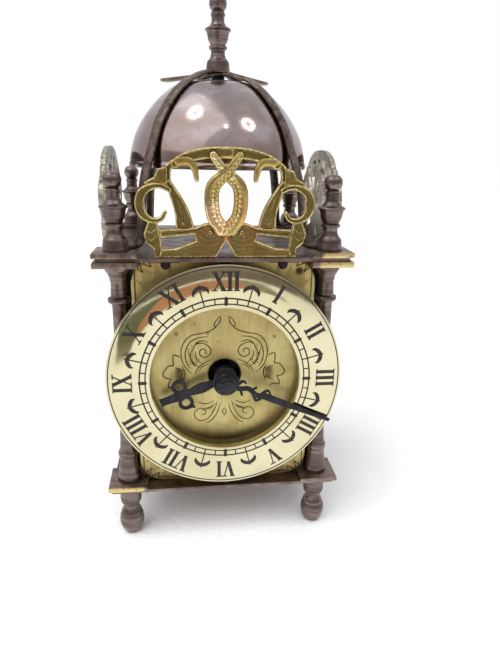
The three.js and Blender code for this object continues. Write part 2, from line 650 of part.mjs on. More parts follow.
function makeMovementPlates() {
  const h = MOVEMENT_HALF;
  const low = MOVEMENT_LOW_Z;
  const high = MOVEMENT_HIGH_Z;
  const edge = [[-h, low], [h, low], [h, high], [-h, high]];
  const plateHoles = (barrelHoleR) => [
    ...pivotHoles(['third', 'fourth', 'escape', 'lever', 'balance'], PIVOT_HOLE_R),
    circlePoints(CENTRE.x, CENTRE.z, CANNON_BORE_R, ROUND),
    circlePoints(AXES.barrel.x, AXES.barrel.z, barrelHoleR, ROUND)];
  const inset = 3.0;
  const pillarR = 1.8;
  const riveted = 0.5;             // how far pillars and stud are let into the front plate
  const pillarFront = INNER_FRONT - riveted;
  const pillars = [[-h + inset, low + inset], [h - inset, low + inset], [h - inset, high - inset],
    [-h + inset, high - inset]].map(([x, z]) =>
    arbor([[0, pillarFront], [pillarR, pillarFront], [pillarR, INNER_REAR], [0, INNER_REAR]], x, z, 8));
  const studRear = MOVEMENT_FRONT + riveted;
  const stud = arbor([[0, MINUTE_STUD_END], [ARBOR_R, MINUTE_STUD_END], [ARBOR_R, studRear],
    [0, studRear]], MINUTE_WHEEL.x, MINUTE_WHEEL.z);
  const frontPlate = panel(outline(edge, plateHoles(1.6)), MOVEMENT_FRONT, INNER_FRONT);
  addPart('movement_front_plate', join([frontPlate, ...pillars, stud]), MATERIALS.brass);
  const rearPlate = panel(outline(edge, plateHoles(2.4)), INNER_REAR, MOVEMENT_REAR);
  addPart('movement_rear_plate', rearPlate, MATERIALS.brass);

  const postFront = DIAL_PLATE_FRONT + DIAL_PLATE_T;
  [['movement_post_left', -1], ['movement_post_right', 1]].forEach(([name, side]) => {
    const post = arbor([[0, postFront], [2.2, postFront], [2.2, MOVEMENT_FRONT], [0, MOVEMENT_FRONT]],
      side * 21.0, 80.0, 8);
    addPart(name, post, MATERIALS.brass);
  });
}

function makeCentre() {
  const r = CENTRE_ARBOR_R;
  const knobSeat = PANEL_INNER + PANEL_T + 2.0;
  const tip = MINUTE_HAND_FRONT - 1.2;
  const shaft = arbor([[0, tip], [r, tip], [r, knobSeat + 3], [0, knobSeat + 3]], 0, DIAL_Z);
  addPart('centre_arbor', shaft, MATERIALS.steel);

  // The centre wheel turns on the arbor with the pinion that the barrel drives: the hands' clutch
  const wheelBore = r + SLACK;
  const phase = direction(CENTRE, THIRD);
  const disc = wheel(CENTRE, CENTRE_MESH.wheel, CENTRE_MESH.module, phase, CENTRE_WHEEL_Y, WHEEL_T,
    wheelBore);
  const sleeveRear = CENTRE_PINION_Y + PINION_T;
  const sleeveR = wheelBore + 0.45;
  const sleeve = arbor([[wheelBore, CENTRE_WHEEL_Y], [sleeveR, CENTRE_WHEEL_Y], [sleeveR, sleeveRear],
    [wheelBore, sleeveRear], [wheelBore, CENTRE_WHEEL_Y]], 0, DIAL_Z);
  const leafOutline = gearOutline(CENTRE, BARREL_MESH.pinion, BARREL_MESH.module,
    pinionPhase(BARREL_MESH, AXES.barrel, CENTRE));
  const leafBore = [circlePoints(0, DIAL_Z, wheelBore + 0.1, ROUND)];
  const pinion = panel(outline(leafOutline, leafBore), CENTRE_PINION_Y, sleeveRear);
  addPart('centre_wheel', join([disc, sleeve, pinion]), MATERIALS.brass);

  const cannonFront = MINUTE_HAND_FRONT + HAND_T;
  const cannonRear = MOVEMENT_FRONT - 0.4;
  const bore = CANNON_BORE_R;
  const tube = arbor([[bore, cannonFront], [CANNON_R, cannonFront], [CANNON_R, cannonRear],
    [bore, cannonRear], [bore, cannonFront]], 0, DIAL_Z);
  const cannonLeaves = gearOutline(CENTRE, CANNON_MESH.pinion, CANNON_MESH.module,
    direction(MINUTE_WHEEL, CENTRE) + Math.PI + Math.PI / CANNON_MESH.pinion);
  const cannonHole = [circlePoints(0, DIAL_Z, bore + 0.2, ROUND)];
  const cannonPinion = panel(outline(cannonLeaves, cannonHole), MINUTE_WHEEL_Y - 0.6,
    MINUTE_WHEEL_Y + 1.5);
  addPart('cannon_pinion', join([tube, cannonPinion]), MATERIALS.steel);

  const knobRear = knobSeat + 5.2;
  const knobBore = r + SLACK;
  const knob = [[0, knobSeat + 3.4], [knobBore, knobSeat + 3.4], [knobBore, knobSeat], [2.4, knobSeat],
    [KNOB_R, knobSeat + 1.6], [KNOB_R, knobRear - 0.8], [KNOB_R - 0.8, knobRear], [0, knobRear]];
  addPart('set_knob', arbor(knob, 0, DIAL_Z, 20), MATERIALS.brass);
}

function makeMotionWork() {
  const pipeRear = HOUR_WHEEL_Y + 1.4;
  const pipeR = HOUR_PIPE_R - SLACK;
  const pipe = arbor([[HOUR_PIPE_BORE_R, HOUR_HAND_FRONT], [pipeR, HOUR_HAND_FRONT], [pipeR, pipeRear],
    [HOUR_PIPE_BORE_R, pipeRear], [HOUR_PIPE_BORE_R, HOUR_HAND_FRONT]], 0, DIAL_Z);
  const phase = direction(CENTRE, MINUTE_WHEEL);
  const disc = panel(outline(gearOutline(CENTRE, HOUR_MESH.wheel, HOUR_MESH.module, phase),
    [circlePoints(0, DIAL_Z, HOUR_PIPE_BORE_R + 0.1, ROUND)]), HOUR_WHEEL_Y, HOUR_WHEEL_Y + WHEEL_T);
  addPart('hour_wheel', join([pipe, disc]), MATERIALS.brass);

  const toothed = direction(MINUTE_WHEEL, CENTRE);
  const bore = [circlePoints(MINUTE_WHEEL.x, MINUTE_WHEEL.z, WHEEL_BORE, ROUND)];
  const minuteOutline = gearOutline(MINUTE_WHEEL, CANNON_MESH.wheel, CANNON_MESH.module, toothed);
  const minuteDisc = panel(outline(minuteOutline, bore), MINUTE_WHEEL_Y, MINUTE_WHEEL_Y + WHEEL_T);
  const leafPhase = toothed + Math.PI / HOUR_MESH.pinion;
  const leafOutline = gearOutline(MINUTE_WHEEL, HOUR_MESH.pinion, HOUR_MESH.module, leafPhase);
  const leaves = panel(outline(leafOutline, bore), HOUR_WHEEL_Y - 0.6, MINUTE_WHEEL_Y + 0.2);
  addPart('minute_wheel', join([minuteDisc, leaves]), MATERIALS.brass);
}

// A flat spiral strip between two radii
function spiral(at, innerR, outerR, turns, thickness, front, rear) {
  const count = Math.round(turns * 10);
  const outside = [];
  const inside = [];
  for (let i = 0; i <= count; i++) {
    const t = i / count;
    const radius = innerR + (outerR - innerR) * t;
    outside.push(polar(radius + thickness / 2, 2 * Math.PI * turns * t, at.x, at.z));
    inside.push(polar(radius - thickness / 2, 2 * Math.PI * turns * t, at.x, at.z));
  }
  return panel(outline(outside.concat(inside.reverse())), front, rear);
}

function makeBarrel() {
  const at = AXES.barrel;
  const toothed = gearOutline(at, BARREL_MESH.wheel, BARREL_MESH.module, direction(at, CENTRE));
  const arborHole = [circlePoints(at.x, at.z, 2.6, ROUND)];
  const flange = panel(outline(toothed, arborHole), BARREL_FLANGE_Y, BARREL_FLANGE_Y + 1.2);
  const drumFront = BARREL_FLANGE_Y + 1.0;
  const drumInner = BARREL_R - 0.9;
  const drum = arbor([[drumInner, drumFront], [BARREL_R, drumFront], [BARREL_R, BARREL_REAR_Y],
    [drumInner, BARREL_REAR_Y], [drumInner, drumFront]], at.x, at.z, 16);
  addPart('barrel', join([flange, drum]), MATERIALS.brass);

  const coverOutline = outline(circlePoints(at.x, at.z, BARREL_R - 1.3, 16), arborHole);
  const cover = panel(coverOutline, BARREL_REAR_Y - 1.2, BARREL_REAR_Y - 0.2);
  addPart('barrel_cover', cover, MATERIALS.brass);
  const coil = spiral(at, 4.0, BARREL_R - 1.6, 4, 0.6, drumFront + 0.6, BARREL_REAR_Y - 1.6);
  addPart('mainspring', coil, MATERIALS.spring);

  const ratchetTeeth = 16;
  const teeth = [];
  for (let i = 0; i < ratchetTeeth; i++) {
    teeth.push(polar(5.2, (2 * Math.PI * i) / ratchetTeeth, at.x, at.z));
    teeth.push(polar(6.4, (2 * Math.PI * (i + 0.15)) / ratchetTeeth, at.x, at.z));
  }
  const squareEnd = KEY_END - 9.0;
  const shaft = arbor([[0, MOVEMENT_FRONT], [1.2, MOVEMENT_FRONT], [1.2, INNER_FRONT + 0.3],
    [2.0, INNER_FRONT + 0.3], [2.0, MOVEMENT_REAR + 1.0], [1.6, MOVEMENT_REAR + 1.0], [1.6, squareEnd],
    [0, squareEnd]], at.x, at.z);
  const ratchet = panel(outline(teeth), RATCHET_Y, RATCHET_Y + 1.2);
  addPart('winding_arbor', join([shaft, ratchet]), MATERIALS.steel);

  const click = ribbon([[at.x + 8.6, at.z + 7.6, 2.2], [at.x + 8.2, at.z + 4.6, 2.0],
    [at.x + 6.9, at.z + 2.2, 0.9]], 4);
  const clickPin = circlePoints(at.x + 8.6, at.z + 7.4, 1.8, 10);
  addPart('click', join([panel(outline(click), RATCHET_Y, RATCHET_Y + 1.0),
    panel(outline(clickPin), RATCHET_Y, INNER_REAR - 0.3)]), MATERIALS.steel);
}

function makeKey() {
  const at = AXES.barrel;
  const pipeFront = MOVEMENT_REAR + 1.6;
  const wingFront = PANEL_INNER + PANEL_T + 2.2;
  const boreEnd = KEY_END - 7.4;
  const pipeRear = KEY_END - 5.0;
  const pipe = arbor([[0, boreEnd], [1.95, boreEnd], [1.95, pipeFront], [2.8, pipeFront],
    [2.8, pipeRear], [0, pipeRear]], at.x, at.z);
  const halfT = 0.8;
  const wingDepth = KEY_END - wingFront;
  const wing = [[2.0, 0], [5.0, 0.9], [9.2, 1.2], [11.0, 3.6], [10.4, 6.8], [7.6, wingDepth],
    [4.0, 7.2], [0, 5.6]];
  const left = wing.slice(0, -1).reverse().map(([x, y]) => [-x, y]);
  const wings = slab(outline([...wing, ...left].map(([x, y]) => [x, y + wingFront])), -halfT, halfT);
  wings.translate(at.x, 0, at.z);
  addPart('winding_key', join([pipe, wings]), MATERIALS.brass);
}

function makeTrain() {
  const third = wheel(THIRD, THIRD_MESH.wheel, THIRD_MESH.module, direction(THIRD, FOURTH),
    THIRD_WHEEL_Y, WHEEL_T, WHEEL_BORE);
  const thirdArbor = pivotedArbor(THIRD, CENTRE_MESH, CENTRE, CENTRE_WHEEL_Y - 0.4);
  addPart('third_arbor', thirdArbor, MATERIALS.steel);
  addPart('third_wheel', third, MATERIALS.brass);

  const fourth = wheel(FOURTH, FOURTH_MESH.wheel, FOURTH_MESH.module, direction(FOURTH, ESCAPE),
    FOURTH_WHEEL_Y, WHEEL_T, WHEEL_BORE);
  const fourthArbor = pivotedArbor(FOURTH, THIRD_MESH, THIRD, THIRD_WHEEL_Y - 0.7);
  addPart('fourth_arbor', fourthArbor, MATERIALS.steel);
  addPart('fourth_wheel', fourth, MATERIALS.brass);

  const teeth = [];
  const pitch = (2 * Math.PI) / ESCAPE_TEETH;
  const toLever = direction(ESCAPE, LEVER);
  for (let i = 0; i < ESCAPE_TEETH; i++) {
    teeth.push(polar(ESCAPE_R - 1.7, toLever + (i - 0.7) * pitch, ESCAPE.x, ESCAPE.z));
    teeth.push(polar(ESCAPE_R - 1.5, toLever + (i - 0.15) * pitch, ESCAPE.x, ESCAPE.z));
    teeth.push(polar(ESCAPE_R, toLever + i * pitch, ESCAPE.x, ESCAPE.z));
  }
  const escape = panel(outline(teeth, [circlePoints(ESCAPE.x, ESCAPE.z, WHEEL_BORE, ROUND)]),
    ESCAPE_WHEEL_Y, ESCAPE_WHEEL_Y + 0.6);
  const escapeArbor = pivotedArbor(ESCAPE, FOURTH_MESH, FOURTH, FOURTH_WHEEL_Y - 0.7);
  addPart('escape_arbor', escapeArbor, MATERIALS.steel);
  addPart('escape_wheel', escape, MATERIALS.brass);
}

function makeEscapement() {
  // Outlines with the lever's pivot at the origin and the escape wheel along +Z
  const fork = ribbon([[0, -9.0, 2.6], [0, -6.0, 1.6], [0, 0.5, 2.6]], 4);
  const arms = ribbon([[-4.6, 3.1, 1.5], [-3.2, 1.6, 1.7], [0, 0.4, 2.4], [3.2, 1.6, 1.7],
    [4.6, 3.1, 1.5]], 8);
  const pallets = [-1, 1].map((side) => outline([[side * 4.3, 3.0], [side * 5.5, 3.0],
    [side * 5.3, 4.6], [side * 4.5, 4.2]]));
  const front = ESCAPE_WHEEL_Y;
  const rear = front + 0.8;
  const notch = outline([[-0.7, -10], [0.7, -10], [0.7, -8.0], [-0.7, -8.0]]);
  const slot = panel(notch, front - 1, rear + 1);
  const body = join([panel(outline(fork), front, rear), panel(outline(arms), front, rear),
    ...pallets.map((shape) => panel(shape, front, rear)), pivotedArbor({ x: 0, z: 0 })]);
  const tilt = direction(LEVER, ESCAPE) - Math.PI / 2;
  const lever = cut(body, [slot]).rotateY(-tilt).translate(LEVER.x, 0, LEVER.z);
  addPart('pallet_lever', lever, MATERIALS.steel);

  const rim = circlePoints(BALANCE.x, BALANCE.z, 7.6, 24);
  const openings = armOpenings(BALANCE, 2.2, 6.3, 2);
  const balance = panel(outline(rim, openings), BALANCE_Y, BALANCE_Y + 1.6);
  const roller = panel(outline(circlePoints(BALANCE.x, BALANCE.z, 1.9, ROUND)), ESCAPE_WHEEL_Y,
    ESCAPE_WHEEL_Y + 0.6);
  addPart('balance_wheel', join([balance, roller, pivotedArbor(BALANCE)]), MATERIALS.brass);
  const hairspring = spiral(BALANCE, 1.5, 5.2, 3, 0.3, HAIRSPRING_Y, HAIRSPRING_Y + 0.8);
  addPart('hairspring', hairspring, MATERIALS.spring);
}

// ---------------------------------------------------------------- assembly

makeFrame();
makeBell();
makeFrets();
makeDial();
makeHands();
makePanels();
makeMovementPlates();
makeCentre();
makeMotionWork();
makeBarrel();
makeKey();
makeTrain();
makeEscapement();

export default clock;
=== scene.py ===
import math

import bmesh
import bpy
import numpy as np
from mathutils import Matrix, Vector


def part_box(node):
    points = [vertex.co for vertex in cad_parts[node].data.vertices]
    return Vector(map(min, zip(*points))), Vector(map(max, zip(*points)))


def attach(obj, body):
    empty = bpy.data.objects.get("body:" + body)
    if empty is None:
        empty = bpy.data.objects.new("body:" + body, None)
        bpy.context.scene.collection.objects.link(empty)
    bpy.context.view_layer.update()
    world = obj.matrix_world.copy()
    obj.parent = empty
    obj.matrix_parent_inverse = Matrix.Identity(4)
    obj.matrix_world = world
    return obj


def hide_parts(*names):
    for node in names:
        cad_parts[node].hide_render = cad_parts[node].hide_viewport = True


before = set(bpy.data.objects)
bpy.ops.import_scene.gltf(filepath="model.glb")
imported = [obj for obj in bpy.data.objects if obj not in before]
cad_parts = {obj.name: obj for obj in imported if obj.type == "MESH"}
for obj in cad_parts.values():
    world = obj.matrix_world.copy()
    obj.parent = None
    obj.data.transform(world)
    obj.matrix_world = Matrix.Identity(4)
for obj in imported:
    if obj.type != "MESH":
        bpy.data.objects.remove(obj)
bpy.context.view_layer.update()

# The looks of a small table lantern clock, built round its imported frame. Lengths are written in
# millimetres, with +Z up and the dial facing -Y, and become metres where a mesh is made.

MM = 0.001
CASE = "case"


def box_mm(node):
    """Lowest and highest corner of a CAD node, in millimetres."""
    low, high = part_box(node)
    return low / MM, high / MM


# ---------------------------------------------------------------- places, from the CAD

FOOT_LOW = box_mm("foot_front_right")[0]
COLUMN_LOW, COLUMN_HIGH = box_mm("column_front_right")
BASE_LOW, BASE_HIGH = box_mm("bottom_plate")
TOP_LOW, TOP_HIGH = box_mm("top_plate")
STRAP_HIGH = box_mm("bell_strap_a")[1]
BELL_LOW = box_mm("bell")[0]
FRET_LOW, FRET_HIGH = box_mm("fret_front")
RING_LOW, RING_HIGH = box_mm("chapter_ring")
DIAL_LOW, DIAL_HIGH = box_mm("dial_plate")

POST = (COLUMN_LOW.x + COLUMN_HIGH.x) / 2
CORNERS = {
    "front_left": (-POST, -POST),
    "front_right": (POST, -POST),
    "rear_left": (-POST, POST),
    "rear_right": (POST, POST),
}
PLATE_T = 1.2
PLATE_HALF = 38.4
PAD_HALF = BASE_HIGH.x - POST
STRAP_T = 1.0
STRAP_WIDTH = 3.6
FINIAL_HEIGHT = 21.8
FINIAL_SEAT = box_mm("finial_front_right")[1].z - FINIAL_HEIGHT
PLATE_TOP = FRET_LOW.z
DIAL_Z = (RING_LOW.z + RING_HIGH.z) / 2
DIAL_FACE = DIAL_LOW.y
DIAL_CENTRE = (0, DIAL_FACE, DIAL_Z)
RING_FACE = RING_LOW.y
RING_R = (RING_HIGH.x - RING_LOW.x) / 2
RING_HOLE_R = 24.3
HAND_HOLE_R = 5.2

# Hands, as the CAD sets them
MINUTES_SHOWN = 18.9
HOURS_SHOWN = 8 + MINUTES_SHOWN / 60


# ---------------------------------------------------------------- materials


def add_node(tree, kind, inputs=None, **settings):
    """A shader node. An input is a value, or another node's output."""
    node = tree.nodes.new(kind)
    for key, value in settings.items():
        setattr(node, key, value)
    for key, value in (inputs or {}).items():
        if isinstance(value, bpy.types.NodeSocket):
            tree.links.new(value, node.inputs[key])
        else:
            node.inputs[key].default_value = value
    return node


class Nodes:
    """Builds one node material. Every texture follows the object's own coordinates, in metres."""

    def __init__(self, name):
        self.material = bpy.data.materials.new(name)
        self.material.use_nodes = True
        self.tree = self.material.node_tree
        self.tree.nodes.clear()
        self.at = self.add("ShaderNodeTexCoord").outputs["Object"]

    def add(self, kind, inputs=None, **settings):
        return add_node(self.tree, kind, inputs, **settings)

    def axis(self, name):
        """The object's own X, Y or Z, in metres."""
        return self.add("ShaderNodeSeparateXYZ", {0: self.at}).outputs[name]

    def stretched(self, scale):
        """Coordinates for a texture drawn out along the axes whose scale is small."""
        return self.add("ShaderNodeMapping", {"Vector": self.at, "Scale": scale}).outputs[0]

    def noise(self, size_mm, detail=4.0, rough=0.55, at=None, distortion=0.0):
        inputs = {
            "Vector": at or self.at,
            "Scale": 1.0 / (size_mm * MM),
            "Detail": detail,
            "Roughness": rough,
            "Distortion": distortion,
        }
        return self.add("ShaderNodeTexNoise", inputs).outputs["Fac"]

    def ramp(self, value, low, high, to_low=0.0, to_high=1.0):
        inputs = {"Value": value, "From Min": low, "From Max": high, "To Min": to_low, "To Max": to_high}
        return self.add("ShaderNodeMapRange", inputs, interpolation_type="SMOOTHSTEP").outputs[0]

    def maths(self, operation, a, b):
        return self.add("ShaderNodeMath", {0: a, 1: b}, operation=operation).outputs[0]

    def centred(self, value, share):
        """A 0 to 1 texture moved to lie round 0 and scaled."""
        return self.maths("MULTIPLY", self.maths("SUBTRACT", value, 0.5), share)

    def mix(self, share, a, b):
        node = self.add("ShaderNodeMix", {"Factor": share}, data_type="RGBA")
        for socket, value in ((node.inputs[6], a), (node.inputs[7], b)):
            if isinstance(value, bpy.types.NodeSocket):
                self.tree.links.new(value, socket)
            else:
                socket.default_value = (*value, 1.0)
        return node.outputs[2]

    def near(self, place_mm, inner_mm, outer_mm):
        """1 near a place on the object, 0 away from it."""
        centre = tuple(c * MM for c in place_mm)
        inputs = {0: self.at, 1: centre}
        distance = self.add("ShaderNodeVectorMath", inputs, operation="DISTANCE").outputs["Value"]
        return self.ramp(distance, inner_mm * MM, outer_mm * MM, 1.0, 0.0)

    def attribute(self, name):
        return self.add("ShaderNodeAttribute", attribute_name=name).outputs["Fac"]

    def bump(self, height, strength, distance_mm, normal=None):
        inputs = {"Height": height, "Strength": strength, "Distance": distance_mm * MM}
        if normal is not None:
            inputs["Normal"] = normal
        return self.add("ShaderNodeBump", inputs).outputs[0]

    def shader(self, colour, roughness, normal, metallic=1.0):
        inputs = {"Base Color": colour, "Roughness": roughness, "Normal": normal, "Metallic": metallic}
        surface = self.add("ShaderNodeBsdfPrincipled", inputs)
        self.add("ShaderNodeOutputMaterial", {"Surface": surface.outputs[0]})
        return self.material


GRIME = (0.03, 0.022, 0.018)
BRASS_SHOWING = (0.72, 0.56, 0.26)
WORN_EDGE_DEPTH = 0.35


def aged_metal(name, base, dark, worn, rough=(0.32, 0.52), mottle_mm=7.0, turning=0.0, bright_spots=(),
               banded=None):
    """A metal with cloudy tarnish, speckle, dirt in its hollows and bright worn edges.

    A bright spot is (place on a front edge, inner and outer reach), where brass shows through. A
    banded scale draws the tarnish out into level bands."""
    n = Nodes(name)
    cloud = n.noise(mottle_mm, 6.0, 0.6, distortion=0.3, at=n.stretched(banded) if banded else None)
    speck = n.noise(0.9, 3.0, 0.6)
    colour = n.mix(n.ramp(cloud, 0.36, 0.66), dark, base)
    colour = n.mix(n.ramp(speck, 0.56, 0.78, 0.0, 0.45), colour, dark)
    ragged = n.maths("ADD", n.attribute("wear"), n.centred(n.noise(1.6), 0.5))
    colour = n.mix(n.ramp(ragged, 0.1, 0.42, 0.0, 0.85), colour, worn)
    hollow = n.ramp(n.maths("MULTIPLY", ragged, -1.0), 0.08, 0.4, 0.0, 0.85)
    colour = n.mix(hollow, colour, GRIME)
    for place, inner, outer in bright_spots:
        patch = n.maths("MULTIPLY", n.near(place, inner, outer), n.ramp(n.noise(1.4), 0.3, 0.45))
        edge = (place[1] + WORN_EDGE_DEPTH) * MM
        patch = n.maths("MULTIPLY", patch, n.ramp(n.axis("Y"), edge, edge + 0.3 * MM, 1.0, 0.0))
        colour = n.mix(patch, colour, BRASS_SHOWING)
    roughness = n.ramp(cloud, 0.3, 0.7, rough[1], rough[0])
    roughness = n.maths("ADD", roughness, n.maths("MULTIPLY", hollow, 0.25))
    normal = n.bump(n.noise(0.5, 5.0, 0.65), 0.25, 0.06)
    if turning:
        tool_marks = n.noise(3.0, 3.0, 0.7, at=n.stretched((0.06, 0.06, 9.0)))
        normal = n.bump(tool_marks, turning, 0.05, normal)
    return n.shader(colour, roughness, normal)


def bell_material():
    """Grey-mauve bronze with faint spinning marks; painted reflections make level bands and the rim browner."""
    n = Nodes("bell_bronze")
    reflected_bands = n.noise(14.0, 3.0, 0.5, at=n.stretched((0.12, 0.12, 1.6)))
    cloud = n.noise(9.0, 5.0, 0.55, distortion=0.8)
    reflected_room_low = n.ramp(n.axis("Z"), 0.128, 0.141, 1.0, 0.0)
    colour = n.mix(n.ramp(cloud, 0.35, 0.68), (0.34, 0.285, 0.285), (0.50, 0.445, 0.45))
    # Painted reflection: the floor and the horizon mirrored in the bell, shown as browner level bands.
    brown = n.maths("MULTIPLY", n.ramp(reflected_bands, 0.42, 0.66), 0.55)
    colour = n.mix(brown, colour, (0.29, 0.21, 0.175))
    # Painted reflection: the dim room mirrored in the lower part of the bell, browner towards the rim.
    colour = n.mix(n.maths("MULTIPLY", reflected_room_low, 0.55), colour, (0.30, 0.20, 0.18))
    stain = n.ramp(n.noise(3.4, 4.0, 0.6), 0.62, 0.74, 0.0, 0.4)
    colour = n.mix(stain, colour, (0.15, 0.10, 0.085))
    colour = n.mix(n.ramp(n.attribute("wear"), 0.12, 0.4), colour, (0.50, 0.40, 0.36))
    spun = n.noise(1.2, 2.0, 0.6, at=n.stretched((0.03, 0.03, 3.0)))
    normal = n.bump(spun, 0.16, 0.03)
    normal = n.bump(n.noise(6.0, 2.0, 0.4), 0.06, 0.25, normal)
    roughness = n.ramp(cloud, 0.3, 0.7, 0.19, 0.10)
    return n.shader(colour, roughness, normal)


CHEEKS = (0, FRET_LOW.y, PLATE_TOP + 7.5)


def cast_brass_material(name, base, dark, pale):
    """Cast brass: dark in the sunk channels, pale on the rims, copper-red round the beasts' cheeks."""
    n = Nodes(name)
    cloud = n.noise(5.0, 5.0, 0.6, distortion=0.5)
    colour = n.mix(n.ramp(cloud, 0.35, 0.7), dark, base)
    copper = n.ramp(n.noise(4.5, 2.0, 0.5), 0.42, 0.54, 0.0, 0.8)
    copper = n.maths("MULTIPLY", copper, n.near(CHEEKS, 7.0, 13.0))
    colour = n.mix(copper, colour, (0.72, 0.36, 0.15))
    grain = n.centred(n.noise(0.8), 0.5)
    level = n.maths("ADD", n.attribute("relief"), grain)
    colour = n.mix(n.ramp(level, 0.55, 0.20, 0.0, 0.8), colour, (0.13, 0.095, 0.03))
    colour = n.mix(n.ramp(level, 0.66, 0.80, 0.0, 0.55), colour, pale)
    edge = n.maths("ADD", n.attribute("wear"), grain)
    colour = n.mix(n.ramp(edge, 0.08, 0.4, 0.0, 0.9), colour, pale)
    roughness = n.ramp(level, 0.2, 0.8, 0.5, 0.25)
    normal = n.bump(n.noise(0.45, 5.0, 0.7), 0.35, 0.08)
    normal = n.bump(n.noise(2.6, 2.0, 0.5), 0.25, 0.25, normal)
    return n.shader(colour, roughness, normal)


# Dark spots on the dial, as x and z from its centre and a radius
DIAL_SPOTS = [(-15.6, 14.6, 1.1), (16.5, 13.0, 0.9), (-5.6, 14.6, 0.9), (-2.2, 11.5, 0.5), (-9.8, 17.8, 0.5),
              (-5.9, 7.6, 0.5)]


def dial_material():
    """Matt brass, upright grain, a few dark spots; painted shade at the hole, brown painted shadow and dirt low
    down.
    """
    n = Nodes("matt_dial_brass")
    grain = n.noise(0.7, 4.0, 0.7, at=n.stretched((1.0, 1.0, 0.05)))
    cloud = n.noise(11.0, 5.0, 0.6, distortion=0.5)
    colour = n.mix(n.ramp(cloud, 0.3, 0.7), (0.48, 0.39, 0.15), (0.62, 0.53, 0.24))
    colour = n.mix(n.ramp(grain, 0.35, 0.75, 0.0, 0.45), colour, (0.37, 0.285, 0.105))
    # Painted shade: a near-black ring on the plate round the hand hole.
    colour = n.mix(n.near(DIAL_CENTRE, HAND_HOLE_R + 0.1, HAND_HOLE_R + 0.7), colour, (0.022, 0.018, 0.014))
    # Painted shadow of the raised chapter ring, partly dirt: darker brown low down inside the ring, with a
    # ragged edge.
    ragged = n.maths("ADD", n.axis("Z"), n.maths("MULTIPLY", n.noise(3.5, 3.0), 0.004))
    lower = n.ramp(ragged, (DIAL_Z - 23.5) * MM, (DIAL_Z - 15.0) * MM, 0.9, 0.0)
    in_ring = n.near(DIAL_CENTRE, RING_HOLE_R, RING_HOLE_R + 0.5)
    colour = n.mix(n.maths("MULTIPLY", lower, in_ring), colour, (0.10, 0.055, 0.02))
    colour = n.mix(n.near((23.7, DIAL_FACE, DIAL_Z + 34.8), 0.6, 1.9), colour, (0.035, 0.02, 0.012))
    for x, z, r in DIAL_SPOTS:
        spot = n.near((x, DIAL_FACE, DIAL_Z + z), r * 0.3, r)
        colour = n.mix(n.maths("MULTIPLY", spot, 0.75), colour, (0.16, 0.12, 0.03))
    normal = n.bump(grain, 0.25, 0.04)
    roughness = n.ramp(cloud, 0.3, 0.7, 0.5, 0.36)
    return n.shader(colour, roughness, normal, metallic=0.85)


def ring_material():
    """Polished brass with a gentle swell, so that what it mirrors wavers, and one small stain."""
    n = Nodes("polished_ring_brass")
    cloud = n.noise(16.0, 3.0, 0.5)
    colour = n.mix(n.ramp(cloud, 0.3, 0.7), (0.62, 0.565, 0.345), (0.70, 0.655, 0.44))
    speck = n.ramp(n.noise(1.1, 3.0, 0.6), 0.66, 0.8, 0.0, 0.35)
    colour = n.mix(speck, colour, (0.55, 0.42, 0.16))
    stain = n.near((-31.0, RING_FACE, DIAL_Z + 9.5), 0.2, 2.2)
    stain = n.maths("MULTIPLY", stain, n.ramp(n.noise(1.0), 0.45, 0.6))
    colour = n.mix(stain, colour, (0.22, 0.15, 0.06))
    colour = n.mix(n.ramp(n.attribute("wear"), 0.15, 0.5), colour, (0.85, 0.77, 0.48))
    normal = n.bump(n.noise(13.0, 2.0, 0.45), 0.16, 0.5)
    normal = n.bump(n.noise(0.6, 3.0, 0.6), 0.05, 0.02, normal)
    roughness = n.ramp(n.noise(5.0, 3.0), 0.3, 0.7, 0.06, 0.13)
    return n.shader(colour, roughness, normal)


def black_material(name, rough, dusty):
    """Blue-black finish, thin at the edges and a little dusty."""
    n = Nodes(name)
    cloud = n.noise(3.0, 4.0, 0.6)
    colour = n.mix(n.ramp(cloud, 0.3, 0.7), (0.010, 0.010, 0.013), (0.024, 0.024, 0.034))
    dust = n.ramp(n.noise(0.6, 4.0, 0.7), 0.6, 0.8, 0.0, dusty)
    colour = n.mix(dust, colour, (0.09, 0.088, 0.09))
    colour = n.mix(n.ramp(n.attribute("wear"), 0.2, 0.5, 0.0, 0.7), colour, (0.10, 0.10, 0.115))
    normal = n.bump(n.noise(0.35, 5.0, 0.7), 0.35, 0.05)
    roughness = n.ramp(cloud, 0.3, 0.7, *rough)
    return n.shader(colour, roughness, normal, metallic=0.55)


def enamel_material():
    """The black filling of the numerals and the track."""
    n = Nodes("black_wax_filling")
    colour = n.mix(n.ramp(n.noise(1.0), 0.4, 0.7), (0.008, 0.007, 0.006), (0.035, 0.028, 0.02))
    normal = n.bump(n.noise(0.3, 4.0), 0.3, 0.03)
    return n.shader(colour, n.ramp(n.noise(1.5), 0.3, 0.7, 0.55, 0.4), normal, metallic=0.0)


def engraving_material():
    """Dirt in the engraved lines."""
    n = Nodes("tarnished_engraving")
    colour = n.mix(n.ramp(n.noise(1.8), 0.35, 0.65), (0.07, 0.047, 0.015), (0.17, 0.12, 0.04))
    normal = n.bump(n.noise(0.25, 4.0), 0.3, 0.03)
    return n.shader(colour, n.ramp(n.noise(0.9), 0.3, 0.7, 0.7, 0.5), normal, metallic=0.6)


def brushed_material(name, pale, deep, rough):
    """Machined brass or steel with a fine upright grain, for the movement and the back."""
    n = Nodes(name)
    grain = n.noise(0.5, 4.0, 0.65, at=n.stretched((1.0, 1.0, 0.08)))
    cloud = n.noise(8.0, 4.0, 0.55)
    colour = n.mix(n.ramp(cloud, 0.3, 0.7), deep, pale)
    colour = n.mix(n.ramp(grain, 0.5, 0.8, 0.0, 0.35), colour, deep)
    colour = n.mix(n.ramp(n.attribute("wear"), 0.15, 0.5, 0.0, 0.6), colour, pale)
    normal = n.bump(grain, 0.2, 0.03)
    return n.shader(colour, n.ramp(cloud, 0.3, 0.7, rough + 0.12, rough), normal)


